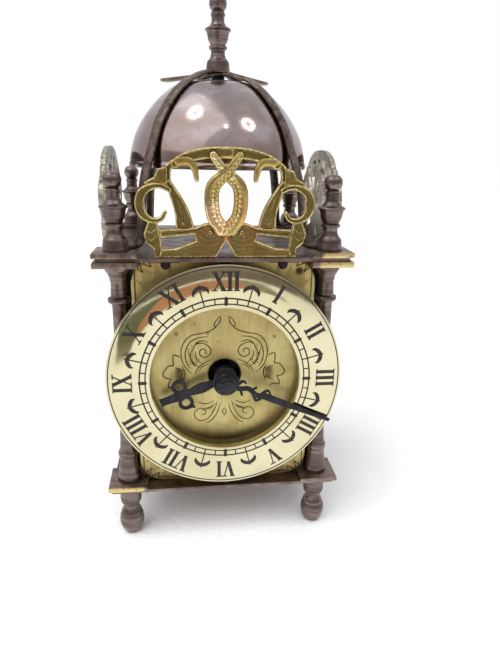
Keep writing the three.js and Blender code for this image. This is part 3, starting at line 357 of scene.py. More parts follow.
def floor_material():
    """White leather-grained sheet."""
    n = Nodes("white_sheet")
    cells = n.add("ShaderNodeTexVoronoi", {"Vector": n.at, "Scale": 1 / (2.6 * MM)}, feature="SMOOTH_F1")
    grain = n.maths("ADD", cells.outputs["Distance"], n.noise(1.8, 4.0, 0.6))
    tone = n.ramp(n.noise(60.0, 3.0), 0.3, 0.7)
    colour = n.mix(tone, (0.86, 0.86, 0.865), (0.90, 0.90, 0.90))
    normal = n.bump(grain, 0.55, 0.5)
    roughness = n.ramp(n.noise(3.0), 0.3, 0.7, 0.62, 0.5)
    return n.shader(colour, roughness, normal, metallic=0.0)


MATERIALS = {
    "turned": aged_metal(
        "turned_bronze", (0.225, 0.178, 0.162), (0.125, 0.092, 0.082), (0.50, 0.41, 0.34), rough=(0.26, 0.38),
        mottle_mm=3.0, turning=0.5, banded=(0.15, 0.15, 1.6),
    ),
    "plate": aged_metal(
        "plate_bronze", (0.25, 0.19, 0.165), (0.13, 0.092, 0.08), (0.42, 0.33, 0.27), rough=(0.34, 0.5),
        bright_spots=(
            ((TOP_HIGH.x - 4.5, TOP_LOW.y, TOP_LOW.z + 0.6), 5.6, 7.0),
            ((BASE_LOW.x + 5.5, BASE_LOW.y, BASE_HIGH.z - 0.6), 5.8, 7.2),
        ),
    ),
    "strap": aged_metal("strap_bronze", (0.155, 0.115, 0.098), (0.07, 0.05, 0.04), (0.34, 0.265, 0.20)),
    "sheet": aged_metal(
        "sheet_bronze", (0.13, 0.095, 0.08), (0.06, 0.042, 0.035), (0.30, 0.23, 0.18), rough=(0.42, 0.6),
        mottle_mm=12.0,
    ),
    "bell": bell_material(),
    "fret": cast_brass_material("cast_brass", (0.66, 0.52, 0.19), (0.40, 0.30, 0.095), (0.95, 0.84, 0.50)),
    "side_fret": cast_brass_material(
        "cast_brass_grey", (0.40, 0.37, 0.29), (0.24, 0.215, 0.165), (0.68, 0.65, 0.54),
    ),
    "dial": dial_material(),
    "ring": ring_material(),
    "black": black_material("blackened_steel", (0.5, 0.34), 0.5),
    "gloss": black_material("glossy_black", (0.26, 0.14), 0.15),
    "enamel": enamel_material(),
    "engraving": engraving_material(),
    "brass": brushed_material("movement_brass", (0.72, 0.53, 0.20), (0.46, 0.32, 0.11), 0.28),
    "steel": brushed_material("arbor_steel", (0.50, 0.50, 0.51), (0.30, 0.30, 0.31), 0.25),
    "spring": brushed_material("blued_spring_steel", (0.06, 0.09, 0.22), (0.03, 0.045, 0.12), 0.25),
}


# ---------------------------------------------------------------- mesh helpers


def smooth_line(points, per=6):
    """Catmull-Rom line through points of any number of columns."""
    p = np.array(points, float)
    p = np.vstack([2 * p[0] - p[1], p, 2 * p[-1] - p[-2]])
    line = []
    for a, b, c, d in zip(p[:-3], p[1:-2], p[2:-1], p[3:]):
        for t in np.linspace(0, 1, per, endpoint=False):
            line.append(0.5 * (2 * b + (c - a) * t + (2 * a - 5 * b + 4 * c - d) * t**2
                               + (3 * b - a - 3 * c + d) * t**3))
    line.append(p[-2])
    return np.array(line)


def mark_wear(mesh):
    """Stores in the attribute wear how sharply each vertex stands out (above 0) or lies in (below 0)."""
    count = len(mesh.vertices)
    co = np.zeros(count * 3)
    normal = np.zeros(count * 3)
    ends = np.zeros(len(mesh.edges) * 2, int)
    mesh.vertices.foreach_get("co", co)
    mesh.vertices.foreach_get("normal", normal)
    mesh.edges.foreach_get("vertices", ends)
    co, normal, ends = co.reshape(-1, 3), normal.reshape(-1, 3), ends.reshape(-1, 2)
    along = co[ends[:, 1]] - co[ends[:, 0]]
    along /= np.maximum(np.linalg.norm(along, axis=1), 1e-9)[:, None]
    total, number = np.zeros(count), np.zeros(count)
    for column, sign in ((0, -1.0), (1, 1.0)):
        v = ends[:, column]
        np.add.at(total, v, sign * (along * normal[v]).sum(1))
        np.add.at(number, v, 1)
    wear = total / np.maximum(number, 1)
    spread = wear * number
    for column in (0, 1):
        np.add.at(spread, ends[:, column], wear[ends[:, 1 - column]])
    wear = spread / np.maximum(2 * number, 1)
    mesh.attributes.new("wear", "FLOAT", "POINT").data.foreach_set("value", wear.astype(np.float32))


def finish_mesh(mesh, sharp_degrees):
    """Smooth shading, with the edges above an angle kept sharp."""
    bm = bmesh.new()
    bm.from_mesh(mesh)
    bmesh.ops.recalc_face_normals(bm, faces=bm.faces)
    limit = math.radians(sharp_degrees)
    for edge in bm.edges:
        edge.smooth = edge.calc_face_angle(0.0) < limit
    for face in bm.faces:
        face.smooth = True
    bm.to_mesh(mesh)
    bm.free()
    mesh.update()
    mark_wear(mesh)


def piece(name, verts, faces, material, body=CASE, stands_for=(), sharp_degrees=38, relief=None):
    """A finished piece from vertices in millimetres, which rides on a body."""
    mesh = bpy.data.meshes.new(name)
    mesh.from_pydata([tuple(c * MM for c in v) for v in verts], [], faces)
    if relief is not None:
        mesh.attributes.new("relief", "FLOAT", "POINT").data.foreach_set("value", relief)
    finish_mesh(mesh, sharp_degrees)
    mesh.materials.append(MATERIALS[material])
    obj = bpy.data.objects.new(name, mesh)
    bpy.context.scene.collection.objects.link(obj)
    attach(obj, body)
    if stands_for:
        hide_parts(*stands_for)
    return obj


def joined(verts, faces, more, more_faces):
    """Two meshes as one."""
    return [*verts, *more], faces + [[v + len(verts) for v in face] for face in more_faces]


def lathe_mesh(profile, sides, axis=(0.0, 0.0), closed=False):
    """Vertices and faces of a solid turned about a vertical axis, from [radius, height] pairs."""
    verts, faces, rings = [], [], []
    for radius, height in profile:
        if radius < 1e-6:
            rings.append([len(verts)] * sides)
            verts.append((axis[0], axis[1], height))
            continue
        rings.append(range(len(verts), len(verts) + sides))
        for k in range(sides):
            a = 2 * math.pi * k / sides
            verts.append((axis[0] + radius * math.cos(a), axis[1] + radius * math.sin(a), height))
    pairs = list(zip(rings[:-1], rings[1:]))
    if closed:
        pairs.append((rings[-1], rings[0]))
    for low, high in pairs:
        for k in range(sides):
            j = (k + 1) % sides
            corners = [low[k], low[j], high[j], high[k]]
            faces.append([c for i, c in enumerate(corners) if c not in corners[:i]])
    return verts, faces


def turned_profile(points, per=5):
    """A turned outline from (radius, height) points; a third value marks a sharp corner."""
    line, run = [], []
    for point in points:
        run.append(point[:2])
        if len(point) == 3 and len(run) > 1:
            part = smooth_line(run, per) if len(run) > 2 else np.array(run)
            line.extend(part[:-1])
            run = [point[:2]]
    line.extend(smooth_line(run, per) if len(run) > 2 else run)
    return [(max(r, 0.0), z) for r, z in line]


# ---------------------------------------------------------------- flat designs in relief


class Canvas:
    """A design drawn on a grid in millimetres: d is the signed distance to it, h its relief.

    A shape's style gives its relief from the depth inside its edge and, for a stroke, the length
    along it and the side of it."""

    def __init__(self, low, high, step):
        self.step = step
        self.low = np.array(low, float)
        self.size = [int(round((b - a) / step)) + 1 for a, b in zip(low, high)]
        axes = [a + step * np.arange(n) for a, n in zip(low, self.size)]
        self.x, self.z = np.meshgrid(*axes, indexing="ij")
        self.d = np.full(self.x.shape, 99.0)
        self.h = np.zeros(self.x.shape)

    def window(self, points, margin):
        """The part of the grid round some points."""
        p = np.array(points, float)[:, :2]
        a = np.floor((p.min(0) - margin - self.low) / self.step).astype(int)
        b = np.ceil((p.max(0) + margin - self.low) / self.step).astype(int) + 1
        a = np.clip(a, 0, self.size)
        b = np.clip(b, 0, self.size)
        return slice(a[0], b[0]), slice(a[1], b[1])

    def along(self, points, where):
        """Distance to a line of (x, z, width) points, less half its width; also the length along it
        and the side as -1 to 1."""
        x, z = self.x[where], self.z[where]
        best = np.full(x.shape, 99.0)
        run, side = np.zeros(x.shape), np.zeros(x.shape)
        start = 0.0
        for (ax, az, aw), (bx, bz, bw) in zip(points[:-1], points[1:]):
            vx, vz = bx - ax, bz - az
            length = math.hypot(vx, vz)
            if length < 1e-9:
                continue
            t = np.clip(((x - ax) * vx + (z - az) * vz) / length**2, 0, 1)
            w = aw + (bw - aw) * t
            off = np.hypot(x - ax - vx * t, z - az - vz * t)
            d = off - w / 2
            closer = d < best
            cross = (x - ax) * vz - (z - az) * vx
            best = np.where(closer, d, best)
            run = np.where(closer, start + t * length, run)
            side = np.where(closer, np.sign(cross) * off / np.maximum(w / 2, 1e-6), side)
            start += length
        return best, run, side

    def lay(self, where, d, height):
        """Adds a shape on top of what is there."""
        over = d < self.step * 1.5
        fresh = self.d[where] > self.step * 1.5
        on_top = over & (fresh | (d < 0.0))
        self.h[where] = np.where(on_top, height, self.h[where])
        self.d[where] = np.minimum(self.d[where], d)

    def stroke(self, points, style=None, per=6):
        """Draws a smooth line through (x, z, width) points."""
        line = smooth_line(points, per)
        where = self.window(line, line[:, 2].max() + 2 * self.step)
        d, run, side = self.along(line, where)
        self.lay(where, d, style(-d, run, side) if style else 0.0)

    def polygon_distance(self, points, where):
        x, z = self.x[where], self.z[where]
        best = np.full(x.shape, 99.0)
        inside = np.zeros(x.shape, bool)
        for (ax, az), (bx, bz) in zip(points, points[1:] + points[:1]):
            vx, vz = bx - ax, bz - az
            t = np.clip(((x - ax) * vx + (z - az) * vz) / (vx * vx + vz * vz + 1e-12), 0, 1)
            best = np.minimum(best, np.hypot(x - ax - vx * t, z - az - vz * t))
            if az != bz:
                crossing = (az > z) != (bz > z)
                inside ^= crossing & (x < ax + vx * (z - az) / vz)
        return np.where(inside, -best, best)

    def fill(self, points, style=None):
        points = [tuple(p) for p in points]
        where = self.window(points, 3 * self.step)
        d = self.polygon_distance(points, where)
        self.lay(where, d, style(-d) if style else 0.0)

    def disc(self, x, z, radius, style=None):
        where = self.window([(x, z)], radius + 3 * self.step)
        d = np.hypot(self.x[where] - x, self.z[where] - z) - radius
        self.lay(where, d, style(-d) if style else 0.0)

    def circle(self, radius, width):
        self.d = np.minimum(self.d, np.abs(np.hypot(self.x, self.z) - radius) - width / 2)

    def hole(self, x, z, radius):
        self.d = np.maximum(self.d, radius - np.hypot(self.x - x, self.z - z))

    def groove(self, points, width, depth, per=5):
        """Cuts a line into the relief, or raises it if the depth is below 0."""
        line = smooth_line([(x, z, width) for x, z in points], per)
        where = self.window(line, width + self.step)
        d = self.along(line, where)[0]
        self.h[where] -= depth * np.clip(-d / (width / 2), 0, 1)

    def solid(self, front, rear, rounding=0.15):
        """Vertices, faces and relief of the design as a solid between two values of y."""
        d = np.where(np.abs(self.d) < 0.04 * self.step, -0.04 * self.step, self.d)
        inside = d < 0
        count = (inside[:-1, :-1].astype(int) + inside[1:, :-1] + inside[1:, 1:] + inside[:-1, 1:])
        verts, relief, faces, known = [], [], [], {}

        def vertex(key):
            if key not in known:
                (i, j), (k, m) = key
                t = 0.0 if (i, j) == (k, m) else d[i, j] / (d[i, j] - d[k, m])
                x = self.x[i, j] + t * (self.x[k, m] - self.x[i, j])
                z = self.z[i, j] + t * (self.z[k, m] - self.z[i, j])
                h = self.h[i, j] + t * (self.h[k, m] - self.h[i, j])
                deep = max(0.0, -(d[i, j] + t * (d[k, m] - d[i, j])))
                edge = max(0.0, 1.0 - deep / rounding) if rounding else 0.0
                known[key] = len(verts)
                verts.append((x, front - h + rounding * edge**2, z))
                verts.append((x, rear, z))
                relief.extend((h, 0.0))
            return known[key]

        for i, j in zip(*np.nonzero(count)):
            corners = [(i, j), (i + 1, j), (i + 1, j + 1), (i, j + 1)]
            loop, cut = [], []
            for k in range(4):
                a, b = corners[k], corners[(k + 1) % 4]
                if inside[a]:
                    loop.append(vertex((a, a)))
                    cut.append(False)
                if inside[a] != inside[b]:
                    loop.append(vertex((min(a, b), max(a, b))))
                    cut.append(True)
            faces.append(loop)
            faces.append([v + 1 for v in reversed(loop)])
            for k in range(len(loop)):
                m = (k + 1) % len(loop)
                if cut[k] and cut[m]:
                    a, b = loop[k], loop[m]
                    faces.append([b, a, a + 1, b + 1])
        return verts, faces, np.array(relief, np.float32)


def placed(verts, move=(0.0, 0.0, 0.0), turn_y=0.0, turn_z=0.0):
    """Vertices turned about Y, then Z, then moved."""
    matrix = Matrix.Rotation(turn_z, 3, "Z") @ Matrix.Rotation(turn_y, 3, "Y")
    return [matrix @ Vector(v) + Vector(move) for v in verts]


# ---------------------------------------------------------------- frame

# Turned outlines as (radius, height); a third value marks a sharp corner
FOOT = [(0, 0), (2.2, 0, 1), (2.74, 0.56), (3.47, 1.7), (3.9, 2.85), (4.15, 4.0), (4.23, 4.9), (4.15, 5.9),
        (3.93, 6.7, 1), (4.02, 6.95, 1), (3.78, 7.4), (3.51, 8.5), (3.08, 9.4), (2.58, 10.2, 1),
        (2.56, 10.8, 1), (2.92, 11.2, 1), (2.96, 11.6), (3.37, 12.3), (3.56, 13.0, 1), (3.45, 13.3, 1),
        (3.67, 13.6, 1), (3.67, 16.0), (3.72, 18.2, 1), (3.6, 18.7, 1), (0, 18.7)]
COLUMN = [(0, 21.4), (3.85, 21.4, 1), (3.97, 21.7), (3.97, 23.0, 1), (3.72, 23.5, 1), (3.55, 24.4),
          (3.3, 26.2), (3.1, 28.0), (3.04, 30.2, 1), (3.2, 30.6), (3.34, 31.4), (3.26, 32.2, 1), (2.9, 32.7),
          (2.6, 34.2), (2.42, 37.0), (2.34, 42.0), (2.26, 60.0), (2.16, 83.4, 1), (2.3, 84.1),
          (2.5, 84.5, 1), (3.2, 84.8), (3.42, 85.5), (3.3, 86.2, 1), (2.45, 86.6, 1), (2.33, 88.6),
          (2.2, 91.2, 1), (2.44, 91.7, 1), (2.5, 92.4), (2.64, 93.0, 1), (2.9, 93.5), (3.3, 94.3),
          (3.76, 95.0, 1), (3.84, 95.4, 1), (3.8, 96.4, 1), (0, 96.4)]
FINIAL = [(0, -1.0), (3.95, -1.0, 1), (3.98, -0.6), (3.9, 0.4), (3.62, 2.3, 1), (3.5, 2.6, 1), (3.0, 3.1),
          (2.55, 3.8), (2.3, 4.8), (2.34, 5.6), (2.45, 6.0, 1), (2.9, 6.2, 1), (3.0, 6.6), (2.9, 7.0, 1),
          (2.45, 7.25, 1), (2.7, 7.8), (3.2, 8.8), (3.5, 10.2), (3.75, 11.3, 1), (4.2, 11.55, 1),
          (4.25, 11.85), (4.1, 12.1, 1), (3.3, 12.5), (2.7, 13.0), (2.35, 13.6, 1), (2.15, 13.9),
          (2.08, 15.2), (2.1, 15.7, 1), (2.35, 15.85), (2.35, 16.25), (2.1, 16.4, 1), (2.2, 16.9, 1),
          (1.8, 17.15, 1), (1.95, 17.3), (2.5, 17.9), (2.8, 18.8), (2.83, 19.6), (2.6, 20.5), (1.9, 21.35),
          (1.0, 21.7), (0, FINIAL_HEIGHT)]
TURNED_SIDES = 72


def turned_piece(name, points, place, stands_for):
    x, y, z = place
    profile = [(r, h + z) for r, h in turned_profile(points)]
    verts, faces = lathe_mesh(profile, TURNED_SIDES, (x, y))
    return piece(name, verts, faces, "turned", stands_for=stands_for, sharp_degrees=30)


for corner, (post_x, post_y) in CORNERS.items():
    turned_piece(f"foot_turned_{corner}", FOOT, (post_x, post_y, FOOT_LOW.z), (f"foot_{corner}",))
    turned_piece(f"column_turned_{corner}", COLUMN, (post_x, post_y, 0.0), (f"column_{corner}",))
    turned_piece(f"finial_turned_{corner}", FINIAL, (post_x, post_y, FINIAL_SEAT), (f"finial_{corner}",))
turned_piece("top_finial_turned", FINIAL, (0.0, 0.0, STRAP_HIGH.z), ("top_finial",))


def bevelled(name, node, boxes, bevel=0.22):
    """A plate made of boxes joined into one solid, its edges broken."""
    parts = []
    for low, high in boxes:
        mesh = bpy.data.meshes.new(name)
        bm = bmesh.new()
        bmesh.ops.create_cube(bm, size=1.0)
        for v in bm.verts:
            v.co = Vector([(a + b) / 2 + c * (b - a) for a, b, c in zip(low, high, v.co)]) * MM
        bm.to_mesh(mesh)
        bm.free()
        part = bpy.data.objects.new(name, mesh)
        bpy.context.scene.collection.objects.link(part)
        parts.append(part)
    base = parts[0]
    for part in parts[1:]:
        union = base.modifiers.new("union", "BOOLEAN")
        union.operation = "UNION"
        union.solver = "EXACT"
        union.object = part
    edge = base.modifiers.new("edge", "BEVEL")
    edge.width = bevel * MM
    edge.segments = 2
    edge.limit_method = "ANGLE"
    bpy.context.view_layer.update()
    solved = base.evaluated_get(bpy.context.evaluated_depsgraph_get())
    mesh = bpy.data.meshes.new_from_object(solved)
    for part in parts:
        bpy.data.objects.remove(part)
    verts = [v.co / MM for v in mesh.vertices]
    faces = [list(p.vertices) for p in mesh.polygons]
    bpy.data.meshes.remove(mesh)
    return piece(name, verts, faces, "plate", stands_for=(node,), sharp_degrees=30)


def corner_pads(low_z, high_z):
    """The raised squares at a plate's four corners."""
    return [((x - PAD_HALF, y - PAD_HALF, low_z), (x + PAD_HALF, y + PAD_HALF, high_z))
            for x, y in CORNERS.values()]


def plate_sheet(low_z, high_z):
    return ((-PLATE_HALF, -PLATE_HALF, low_z), (PLATE_HALF, PLATE_HALF, high_z))


BASE_SHEET_TOP = BASE_LOW.z + PLATE_T
TOP_SHEET_LOW = PLATE_TOP - PLATE_T
bevelled("bottom_plate_edged", "bottom_plate",
         [plate_sheet(BASE_LOW.z, BASE_SHEET_TOP), *corner_pads(BASE_SHEET_TOP, BASE_HIGH.z)])
bevelled("top_plate_edged", "top_plate",
         [plate_sheet(TOP_SHEET_LOW, PLATE_TOP), *corner_pads(TOP_LOW.z, TOP_SHEET_LOW),
          *corner_pads(PLATE_TOP, TOP_HIGH.z)])


# ---------------------------------------------------------------- straps and bell

# Half of a strap from its crown outwards, as (distance from the axis, height)
ARM = [(5.6, 154.9), (9.2, 153.7), (12.6, 152.2), (16.3, 150.3), (20.1, 147.5), (23.7, 143.8),
       (26.9, 139.5), (29.3, 135.0), (31.0, 130.6), (33.0, 126.0), (34.6, 121.5), (35.9, 115.0),
       (36.6, 107.5), (36.9, 104.6), (37.4, 103.0), (38.4, 102.05), (39.8, 101.9), (44.0, 101.9),
       (49.1, 101.9)]
TAIL_END = (26.0, 154.3)


def strip(line, angle):
    """Vertices and faces of a flat strip that follows a line of (distance from the axis, height)."""
    along = np.gradient(line, axis=0)
    along /= np.linalg.norm(along, axis=1)[:, None]
    outward = np.stack([-along[:, 1], along[:, 0]], 1)
    w, t, c = STRAP_WIDTH / 2, STRAP_T, 0.25
    section = [(-w, -c), (-w + c, 0.0), (w - c, 0.0), (w, -c), (w, c - t), (w - c, -t), (c - w, -t),
               (-w, c - t)]
    across = Vector((-math.sin(angle), math.cos(angle), 0))
    away = Vector((math.cos(angle), math.sin(angle), 0))
    verts, faces = [], []
    for (s, z), (out_s, out_z) in zip(line, outward):
        for side, depth in section:
            point = away * (s + out_s * depth) + across * side
            verts.append((point.x, point.y, z + out_z * depth))
    n = len(section)
    for i in range(len(line) - 1):
        for k in range(n):
            j = (k + 1) % n
            faces.append([i * n + k, i * n + j, (i + 1) * n + j, (i + 1) * n + k])
    faces.append(list(range(n)))
    faces.append(list(range(len(verts) - n, len(verts))))
    return verts, faces


def strap(name, angle, crown, node):
    """A flat strip bent down over the bell on both sides, and the short bar behind its crown."""
    flat, drop = 2.4, STRAP_HIGH.z - crown
    arm = [(s, z - (drop if i < 2 else 0.0)) for i, (s, z) in enumerate(ARM)]
    front = [(-s, z) for s, z in arm][::-1]
    line = smooth_line([*front, (-flat, crown), (0, crown), (flat, crown), *arm], 4)
    line[:, 1] = np.minimum(line[:, 1], crown)
    verts, faces = strip(line, angle)
    tail = [(1.2, crown - 0.02), (flat, crown - 0.02), (9.0, (crown + TAIL_END[1]) / 2 + 0.15), TAIL_END]
    verts, faces = joined(verts, faces, *strip(smooth_line(tail, 4), angle))
    return piece(name, verts, faces, "strap", stands_for=(node,), sharp_degrees=50)


strap("strap_bent_a", math.pi / 4, STRAP_HIGH.z, "bell_strap_a")
strap("strap_bent_b", 3 * math.pi / 4, STRAP_HIGH.z - STRAP_T, "bell_strap_b")


# The bell's outside, as (radius, height above the rim)
BELL_LINE = [(30.3, 0.0), (30.1, 2.7), (29.5, 5.9), (28.1, 10.3), (25.8, 14.6), (22.7, 18.7), (19.2, 22.3),
             (15.3, 25.2), (11.2, 26.8), (6.0, 27.25), (1.4, 27.3)]


def bell_profile():
    """The bell's section: the outside from the rim up, with a slight band round the rim, then the inside."""
    wall = 1.3
    line = smooth_line(BELL_LINE, 7)
    along = np.gradient(line, axis=0)
    along /= np.linalg.norm(along, axis=1)[:, None]
    inner = line - wall * np.stack([along[:, 1], -along[:, 0]], 1)
    inner = inner[(inner[:, 1] > 0.25) & (inner[:, 0] > line[-1, 0])]
    radius = BELL_LINE[0][0]
    rim = [(radius - 0.2, 0.0), (radius + 0.18, 0.2), (radius + 0.2, 1.4), (radius, 1.65)]
    outer = [p for p in line if p[1] > 1.7]
    section = [*rim, *outer, (line[-1, 0], line[-1, 1] - wall), *inner[::-1], (radius - wall + 0.2, 0.0)]
    return [(r, z + BELL_LOW.z) for r, z in section]


verts, faces = lathe_mesh(bell_profile(), 144, closed=True)
piece("bell_spun", verts, faces, "bell", stands_for=("bell",), sharp_degrees=60)


# ---------------------------------------------------------------- frets


def smoothstep(a, b, v):
    t = np.clip((v - a) / (b - a), 0, 1)
    return t * t * (3 - 2 * t)


def rimmed(level, rim, drop):
    """A sunk channel between raised rims."""
    def style(depth, *_):
        return level - drop * smoothstep(rim * 0.7, rim * 1.25, depth)
    return style


def rounded(level, swell, reach):
    """A swell that rises from its edges."""
    def style(depth, *_):
        return level + swell * np.sqrt(np.clip(depth / reach, 0, 1))
    return style


SCALE_PITCH = 1.45


def scaly(level, inner_side, on_top):
    """A round body: small scales in two rows along its inner half, a smooth fillet outside. Between
    the two lengths on_top it rises over the other body."""
    def style(depth, run, side):
        dome = 0.45 * np.sqrt(np.clip(1 - side**2, 0, 1))
        s = side * inner_side
        rows = smoothstep(-0.15, 0.05, s) * smoothstep(0.95, 0.8, s)
        shift = np.where(s > 0.42, 0.5, 0.0)
        phase = (run / SCALE_PITCH + shift) % 1.0
        scale = np.clip(1 - np.abs(phase - 0.5) * 2.2, 0, 1)
        valley = np.exp(-((s - 0.42) / 0.07) ** 2) + np.exp(-((s + 0.06) / 0.07) ** 2)
        start, end = on_top
        lift = 0.35 * smoothstep(start - 3.0, start, run) * smoothstep(end + 3.0, end, run)
        return level + dome + rows * (0.34 * scale - 0.16) - 0.28 * valley + lift
    return style


# Half of the pierced pattern as (x, height above the plate, width)
ARCH = [(-0.6, 29.9, 3.2), (6, 29.6, 3.1), (11.5, 28.3, 2.9), (14.6, 26.6, 2.4)]
SHOULDER = [(13.2, 27.9, 1.8), (16.4, 25.6, 2.0), (16.9, 22.6, 2.0), (16.4, 20.4, 2.0)]
FIN = [(16.6, 21.4, 1.8), (14.7, 17.6, 3.0), (12.9, 13.2, 4.2), (12.2, 9.4, 5.2)]
HOOK = [(13.6, 27.4, 2.6), (10.8, 27.3, 2.4), (9.2, 25.6, 2.0), (8.5, 22.4, 1.2)]
SCROLL = [(16.4, 19.6, 1.4), (20.0, 20.7, 1.6), (23.9, 18.9, 2.5), (25.0, 15.8, 2.8), (24.1, 12.6, 2.4),
          (21.6, 10.9, 1.7), (19.0, 11.3, 1.5), (17.7, 13.2, 1.1)]
BODY = [(-3.8, 29.0, 2.4), (-0.4, 24.6, 3.0), (3.5, 21.0, 4.0), (4.3, 16.8, 4.2), (3.6, 12.0, 4.2),
        (1.4, 8.6, 4.4)]
LEAF = [(16.9, 21.0), (22.2, 20.6), (23.6, 21.4), (20.6, 23.0), (19.6, 25.2), (16.8, 26.0)]
BUD = [(22.6, 11.2), (24.2, 7.0), (23.4, 4.2), (21.4, 2.6), (21.2, 0), (18.6, 0), (19.2, 5.0), (20.2, 10.6)]
HEAD = [(19.6, 8.3), (9.4, 8.8), (6.0, 10.2), (1.0, 9.8), (0.0, 9.2), (0.0, 5.2), (3.0, 0), (20.0, 0),
        (19.4, 2.5), (14.8, 2.8), (9.0, 5.0), (9.3, 6.9), (19.3, 5.8)]



def eye_ring(radius):
    return [(4.7 + radius * math.cos(a), 7.4 + radius * math.sin(a))
            for a in np.linspace(0.4, 2 * math.pi - 0.1, 9)]


# Lines cut into half of the pattern, as points, width and depth. Below 0 a line is raised.
FRET_LINES = [
    # Eye, cheek and jaw of the beast's head
    *[(eye_ring(radius), 0.5, depth) for radius, depth in ((1.75, 0.28), (1.05, 0.3), (0.45, -0.35))],
    ([(1.0, 4.6), (3.6, 3.4), (6.4, 3.2), (9.0, 4.4)], 0.55, 0.3),
    ([(0.6, 8.6), (1.6, 6.2), (3.4, 5.0), (6.4, 5.0), (8.6, 6.4)], 0.5, 0.32),
    ([(6.8, 8.9), (10.0, 7.9), (14.0, 7.4), (18.6, 7.2)], 0.4, 0.3),
    ([(2.4, 1.6), (5.2, 2.2), (8.6, 3.4), (12.0, 2.2)], 0.4, 0.3),
    *[([(6.6 + 0.9 * k, 8.3 - 0.25 * k), (7.4 + 0.9 * k, 7.2 - 0.2 * k)], 0.3, 0.22) for k in range(5)],
    # Hatching along the foot
    *[([(5.2 + 1.55 * k, 0.1), (5.2 + 1.55 * k + 0.35, 1.5)], 0.32, 0.28) for k in range(9)],
    # Mane under the arch
    *[([(1.2 + 1.15 * k, 28.6 - 0.08 * k), (1.2 + 1.15 * k + 0.7, 29.8 - 0.1 * k),
        (1.2 + 1.15 * k + 0.5, 30.8 - 0.12 * k)], 0.3, 0.22) for k in range(6)],
    # Veins of the leaf, the arrow on the fin, the cup of the bud, the scroll
    ([(17.4, 21.8), (19.6, 22.2), (22.0, 21.4)], 0.3, 0.25),
    ([(17.4, 23.0), (18.6, 23.4), (19.4, 24.4)], 0.3, 0.25),
    ([(14.3, 17.4), (13.2, 14.0), (12.7, 10.0)], 0.45, -0.32),
    ([(12.0, 12.2), (12.6, 9.8), (13.7, 12.0)], 0.4, -0.3),
    ([(20.4, 8.8), (22.0, 7.4), (23.6, 8.4)], 0.4, -0.4),
    ([(20.6, 6.4), (22.0, 5.2), (23.2, 6.2)], 0.4, -0.35),
    ([(19.4, 19.9), (22.6, 18.9), (23.9, 16.0), (23.0, 12.9), (21.0, 11.7)], 0.3, -0.2),
]


def fret_design():
    """The pierced pattern: strokes and fills from the back forwards, then the twined bodies."""
    c = Canvas((-27.0, -0.5), (27.0, 32.0), 0.22)

    def flip(points, side):
        return [(p[0] * side, *p[1:]) for p in points]

    for draw, shape, style in (
        (c.stroke, SHOULDER, rimmed(0.0, 0.5, 0.5)),
        (c.fill, LEAF, rimmed(-0.1, 0.4, 0.25)),
        (c.fill, BUD, rimmed(0.0, 0.5, 0.5)),
        (c.stroke, FIN, rimmed(0.05, 0.6, 0.6)),
        (c.fill, HEAD, rimmed(-0.05, 0.5, 0.4)),
        (c.stroke, ARCH, rimmed(0.0, 0.6, 0.5)),
        (c.stroke, HOOK, rounded(-0.15, 0.35, 0.9)),
        (c.stroke, SCROLL, rimmed(0.05, 0.5, 0.5)),
    ):
        for side in (1, -1):
            draw(flip(shape, side), style)
    c.stroke(BODY, scaly(-0.15, 1, (0.0, 7.0)))
    c.stroke(flip(BODY, -1), scaly(-0.15, -1, (17.0, 26.0)))

    for m in (1, -1):
        for points, width, depth in FRET_LINES:
            c.groove(flip(points, m), width, depth)
    c.d = np.maximum(c.d, -c.z)
    return c


def make_frets():
    verts, faces, relief = fret_design().solid(0.0, FRET_HIGH.y - FRET_LOW.y, rounding=0.3)
    level = (relief - relief.min()) / (relief.max() - relief.min())
    for name, turn, material in (("front", 0.0, "fret"), ("right", math.pi / 2, "side_fret"),
                                 ("left", -math.pi / 2, "side_fret")):
        centre = Matrix.Rotation(turn, 3, "Z") @ Vector((0, FRET_LOW.y + 0.2, 0))
        where = placed(verts, (centre.x, centre.y, PLATE_TOP), turn_z=turn)
        piece(f"fret_cast_{name}", where, faces, material, stands_for=(f"fret_{name}",),
              sharp_degrees=60, relief=level)


make_frets()


# ---------------------------------------------------------------- dial


def y_lathe(profile, sides, x, z, closed=False):
    """A solid turned about an axis parallel to Y, from [radius, y] pairs."""
    verts, faces = lathe_mesh(profile, sides, closed=closed)
    return [(vx + x, vz, vy + z) for vx, vy, vz in verts], faces


def dial_plate():
    """A sheet with rounded corners and a hole for the hands."""
    c = Canvas((DIAL_LOW.x - 1, DIAL_LOW.z - 1), (DIAL_HIGH.x + 1, DIAL_HIGH.z + 1), 0.5)
    corner = 8.0
    half_x = (DIAL_HIGH.x - DIAL_LOW.x) / 2 - corner
    half_z = (DIAL_HIGH.z - DIAL_LOW.z) / 2 - corner
    middle = (DIAL_HIGH.z + DIAL_LOW.z) / 2
    dx = np.abs(c.x) - half_x
    dz = np.abs(c.z - middle) - half_z
    c.d = np.hypot(np.maximum(dx, 0), np.maximum(dz, 0)) + np.minimum(np.maximum(dx, dz), 0) - corner
    c.hole(0.0, DIAL_Z, HAND_HOLE_R)
    verts, faces, _ = c.solid(DIAL_LOW.y, DIAL_HIGH.y, rounding=0.2)
    piece("dial_plate_matt", verts, faces, "dial", stands_for=("dial_plate",), sharp_degrees=30)


dial_plate()


RING_FOOT_R = 31.0


